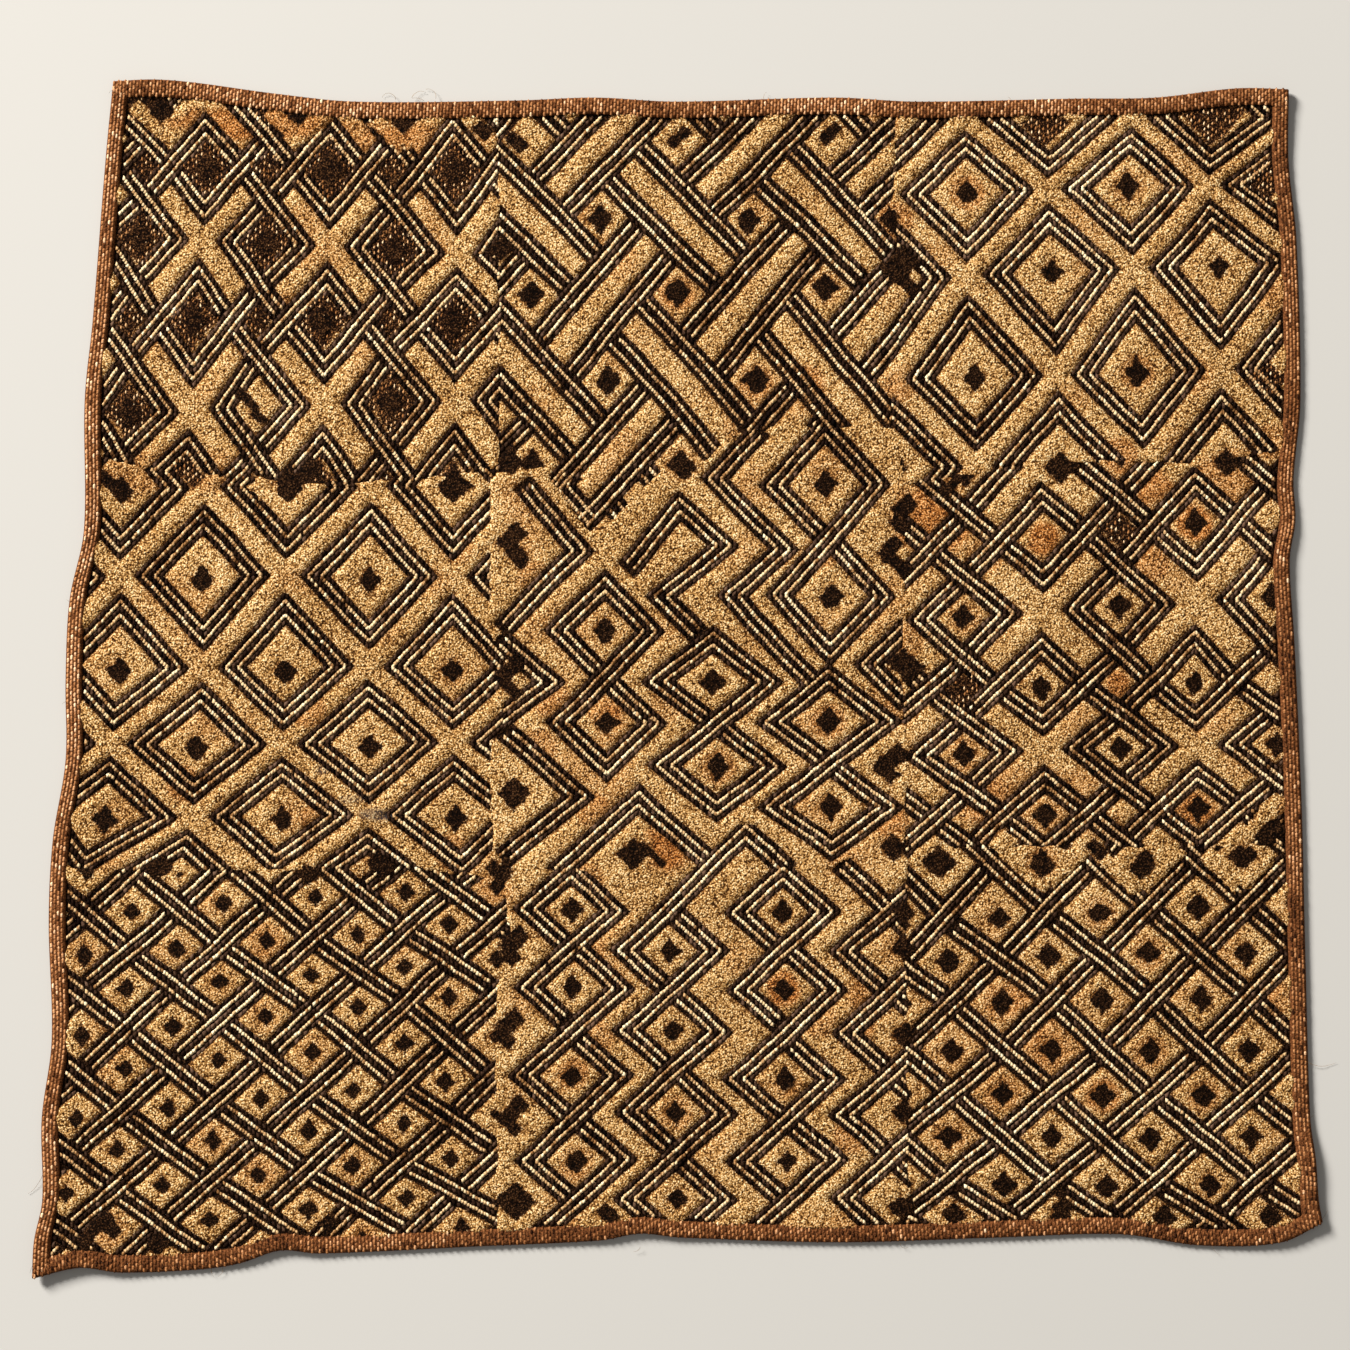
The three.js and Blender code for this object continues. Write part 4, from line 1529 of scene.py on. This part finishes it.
@dataclass
class WovenHem:
    """The hem: the panel's edge folded to the front, a plain weave of thick warm threads."""

    thread: float = 1.66
    grain: float = 2.35
    # The fold's cross-section: how far in from the edge, and how high.
    section: tuple[tuple[float, float], ...] = (
        (1.0, 0.1), (0.25, 0.5), (0.0, 1.25), (0.4, 2.0), (1.4, 2.4), (4.0, 2.5),
        (6.8, 2.4), (7.7, 2.05), (8.0, 1.3), (7.8, 0.6), (4.0, 0.35),
    )
    # painted light: the left and top hems are made lighter than the bottom and right, as light falls from the
    # upper left
    side_painted_light: tuple[float, ...] = (0.36, 0.35, 0.58, 0.49)  # each side's shade
    stops: Stops = ((0.0, "28140a"), (0.3, "6a3f22"), (0.55, "9d6a41"), (0.8, "c6946a"), (1.0, "e6c6a0"))
    last: float = 7.5  # how far in the last threads lie
    # The top of the fold: how far in from the edge, and how high a thread's middle lies there.
    crest: tuple[tuple[float, float], ...] = (
        (0.0, 1.6), (0.6, 2.0), (1.4, 2.35), (4.0, 2.47), (6.8, 2.37), (7.8, 1.95),
    )

    def place(self, side: Side, along: Array, inward: Array) -> tuple[Array, Array]:
        """A point a share along one side of the cloth and so far in from its edge."""
        if side.level:
            up = inward / OUTLINE.length
            return OUTLINE.place(along, up if side is Side.BOTTOM else 1 - up)
        across = inward / OUTLINE.width
        return OUTLINE.place(across if side is Side.LEFT else 1 - across, along)

    def strip(self, side: Side) -> tuple[Array, Array]:
        """The folded strip of one side, closed at its ends."""
        count = int(side.length / 3.5)
        inward, height = np.array(self.section).T
        along, deep = np.meshgrid(np.linspace(0.0006, 0.9994, count + 1), inward, indexing="ij")
        x, y = self.place(side, along, deep)
        lift = OUTLINE.lift(x, y, np.minimum(deep, LIFT_RUN))
        lap = side.value * smooth(height, 0.9, 1.6)
        z = lift + height[None, :] + lap[None, :]
        points = np.stack([x, y, z], axis=-1).reshape(-1, 3)
        ring = len(self.section)
        grid = np.arange(len(points)).reshape(count + 1, ring)
        a, b = grid[:-1], np.roll(grid[:-1], -1, axis=1)
        c, d = np.roll(grid[1:], -1, axis=1), grid[1:]
        halves = [np.stack(corners, -1).reshape(-1, 3) for corners in ((a, b, c), (a, c, d))]
        fan = np.array([(0, k + 1, k) for k in range(1, ring - 1)])
        triangles = np.concatenate([*halves, fan, fan[:, ::-1] + grid[-1, 0]])
        return points, triangles[:, ::-1] if side in (Side.TOP, Side.LEFT) else triangles

    def threads(self, side: Side) -> tuple[Array, Array, Array, Array]:
        """Middle, direction, half sizes and shade of each raised thread of one side."""
        number = list(Side).index(side)
        rng = np.random.default_rng(61 + number)
        steps = (self.thread, self.grain) if side.level else (self.grain, self.thread)
        places_along = np.arange(0.9, side.length - 0.9, steps[0])
        places_in = np.arange(1.3, self.last, steps[1])
        i, j = np.meshgrid(np.arange(len(places_along)), np.arange(len(places_in)), indexing="ij")
        stagger = 0.5 * ((i if side.level else j) % 2) * self.grain
        along = (places_along[i] + (0.0 if side.level else stagger)) / side.length
        along = np.clip(along.ravel(), 0.001, 0.999)
        inward = (places_in[j] + (stagger if side.level else 0.0)).ravel()
        kept = inward < self.last
        along, inward = along[kept], inward[kept]
        x, y = self.place(side, along, inward)
        ahead, back = (self.place(side, np.clip(along + k, 0, 1), inward) for k in (0.002, -0.002))
        way = unit(np.column_stack([ahead[0] - back[0], ahead[1] - back[1]]))
        if side.level:
            way = np.column_stack([-way[:, 1], way[:, 0]])
        count = len(x)
        height = np.interp(inward, *np.array(self.crest).T)
        z = OUTLINE.lift(x, y, inward) + height + side.value + rng.normal(0.0, 0.05, count)
        way = unit(np.column_stack([way, rng.normal(0.0, 0.05, count)]))
        half_length = 0.62 * self.grain * rng.uniform(0.85, 1.1, count)
        half_width = 0.47 * self.thread * rng.uniform(0.88, 1.1, count)
        half = np.column_stack([half_length, half_width, rng.uniform(0.42, 0.6, count)])
        worn = noise(x, y, (0.16, 71, 30.0))
        # each side's painted light sets its threads' shade
        shade = self.side_painted_light[number] + worn + rng.normal(0.0, 0.17, count)
        return np.column_stack([x, y, z]), way, half, shade

    def build(self) -> list[bpy.types.Object]:
        """The folded strips and the threads raised on them."""
        finish = StrandFinish("raffia_hem_weave", stops=self.stops).build()
        maker = Strands(stations=((-0.5, 0.85), (0.5, 0.85)))
        strips, threads, shades = [], [], []
        for side in Side:
            strips.append(self.strip(side))
            centres, way, half, shade = self.threads(side)
            threads.append(maker.build(centres, way, half))
            shades.append(np.repeat(shade, maker.points_each))
        return [
            # painted shade: the fold shows between and beside the raised threads, so it is made dark
            make_piece("hem_fold", join(strips), finish, {"shade": 0.2}),
            make_piece("hem_threads", join(threads), finish, {"shade": np.concatenate(shades)}),
        ]


@dataclass
class LooseFibres:
    """Stray ends of raffia that stand out from the hem and off the pile."""

    # x and y in plan steps, heading in degrees, length in millimetres, bend in degrees.
    hairs: tuple[tuple[float, float, float, float, float], ...] = (
        (396, 100, 105, 9, 150), (412, 98, 60, 8, -120), (436, 99, 85, 8, 140), (424, 101, 150, 6, 60),
        (44, 1172, 250, 13, -70), (212, 1268, 260, 5, 80), (222, 1266, 300, 6, -90),
        (1308, 1062, 330, 14, 40),
        (1314, 1222, 10, 9, 70), (1286, 392, 20, 6, -80), (1300, 1118, 340, 7, 60), (118, 92, 140, 5, 90),
        (560, 108, 70, 4, 100), (764, 100, 110, 4, -90), (1010, 104, 60, 4, 120), (70, 700, 190, 4, 60),
        (76, 604, 170, 5, -70), (900, 1243, 275, 5, 90), (640, 1247, 250, 4, -100), (1212, 1246, 290, 6, 60),
        (36, 1262, 215, 6, 50), (1290, 690, 350, 4, 80), (1296, 860, 10, 4, -80), (60, 900, 180, 4, 90),
    )
    radius: float = 0.11
    start_height: float = 1.6
    stations: int = 9
    sides: int = 3

    def line(self, hair: tuple[float, ...], rng: np.random.Generator) -> Array:
        """One hair's middle line."""
        x, y, heading, length, bend = hair
        angle = math.radians(heading)
        middle = np.array([*from_plan((x, y)), self.start_height])
        run = length / (self.stations - 1)
        line = []
        for _ in range(self.stations):
            line.append(middle.copy())
            slope = -0.12 if middle[2] > 0.5 else 0.0
            middle += run * np.array([math.cos(angle), math.sin(angle), slope])
            angle += math.radians(bend) / self.stations + rng.normal(0.0, 0.08)
        return np.array(line)

    def tube(self, line: Array) -> tuple[Array, Array]:
        """A thin closed tube along a line."""
        side, rise = cross_section(unit(np.gradient(line, axis=0)))
        thin = self.radius * np.linspace(1.0, 0.45, self.stations)[:, None]
        turns = np.arange(self.sides) * math.tau / self.sides
        rings = [line + thin * (math.cos(turn) * side + math.sin(turn) * rise) for turn in turns]
        points = np.stack(rings, axis=1).reshape(-1, 3)
        n = self.sides
        faces = [(0, 2, 1), (len(points) - 3, len(points) - 2, len(points) - 1)]
        for k in range(0, len(points) - n, n):
            for m in range(n):
                a, b = k + m, k + (m + 1) % n
                faces += [(a, b, b + n), (a, b + n, a + n)]
        return points, np.array(faces)

    def build(self) -> bpy.types.Object:
        """All the hairs as one piece."""
        rng = np.random.default_rng(81)
        tubes = [self.tube(self.line(hair, rng)) for hair in self.hairs]
        finish = StrandFinish("raffia_stray_end", stops=((0.0, "5a4028"), (1.0, "a98a63"))).build()
        return make_piece("loose_fibres", join(tubes), finish, {"shade": 0.5})


@dataclass
class KubaCloth:
    """The whole cloth."""

    parts: list[bpy.types.Object] = field(default_factory=list)

    def build(self) -> None:
        """Builds the panel and all that is worked into it."""
        board = draw_design()
        report.info("design drawn: %d cords", len(board.cords))
        woven = WovenGround(board)
        ground = woven.build()
        self.parts += CutPile(board).build()
        self.parts += StitchedCords(board).build()
        self.parts.append(GroundFlecks(board).build())
        self.parts += WovenHem().build()
        self.parts.append(LooseFibres().build())
        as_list(self.parts)


@dataclass
class Studio:
    """A pale floor, soft light from the upper left and a camera straight above."""

    camera_height: float = 2.0
    sensor: float = 36.0
    frame_width: float = 0.64125
    camera_place: tuple[float, float] = (-0.0012, 0.0019)
    floor_half: float = 4.0
    floor_height: float = -0.0002
    key_place: tuple[float, float, float] = (-4.4, 3.9, 3.2)
    key_size: float = 1.85
    key_power: float = 1175.0
    sky: float = 0.3

    def build(self) -> None:
        """Adds the floor, the lights and the camera."""
        scene = bpy.context.scene
        scene.view_settings.view_transform = "Standard"
        h = self.floor_half
        corners = [(x, y, self.floor_height) for x, y in ((-h, -h), (h, -h), (h, h), (-h, h))]
        board = bpy.data.meshes.new("floor")
        board.from_pydata(corners, [], [(0, 1, 2, 3)])
        board.materials.append(Finish("pale_floor", roughness=0.9, plain="bdbbb7").build())
        add_object("floor", board)

        lens = bpy.data.cameras.new("camera")
        lens.sensor_width = self.sensor
        lens.lens = self.sensor * self.camera_height / self.frame_width
        camera = add_object("camera", lens)
        camera.location = (*self.camera_place, self.camera_height)
        scene.camera = camera

        lamp = bpy.data.lights.new("window_light", "AREA")
        lamp.shape = "SQUARE"
        lamp.size = self.key_size
        lamp.energy = self.key_power
        lamp.color = (1.0, 0.97, 0.92)
        key = add_object("window_light", lamp)
        key.location = self.key_place
        x, y, z = self.key_place
        key.rotation_euler = (math.atan2(math.hypot(x, y), z), 0.0, math.atan2(y, x) + math.pi / 2)

        world = bpy.data.worlds.new("studio")
        world.use_nodes = True
        world.node_tree.nodes.clear()
        glow = add_node(world.node_tree, "Background", {}, {"Color": linear("f4f1ec"), "Strength": self.sky})
        add_node(world.node_tree, "OutputWorld", {}, {"Surface": glow.outputs[0]})
        scene.world = world


def main() -> None:
    """Builds the studio and the cloth."""
    Studio().build()
    KubaCloth().build()


if __name__ == "__main__":
    main()
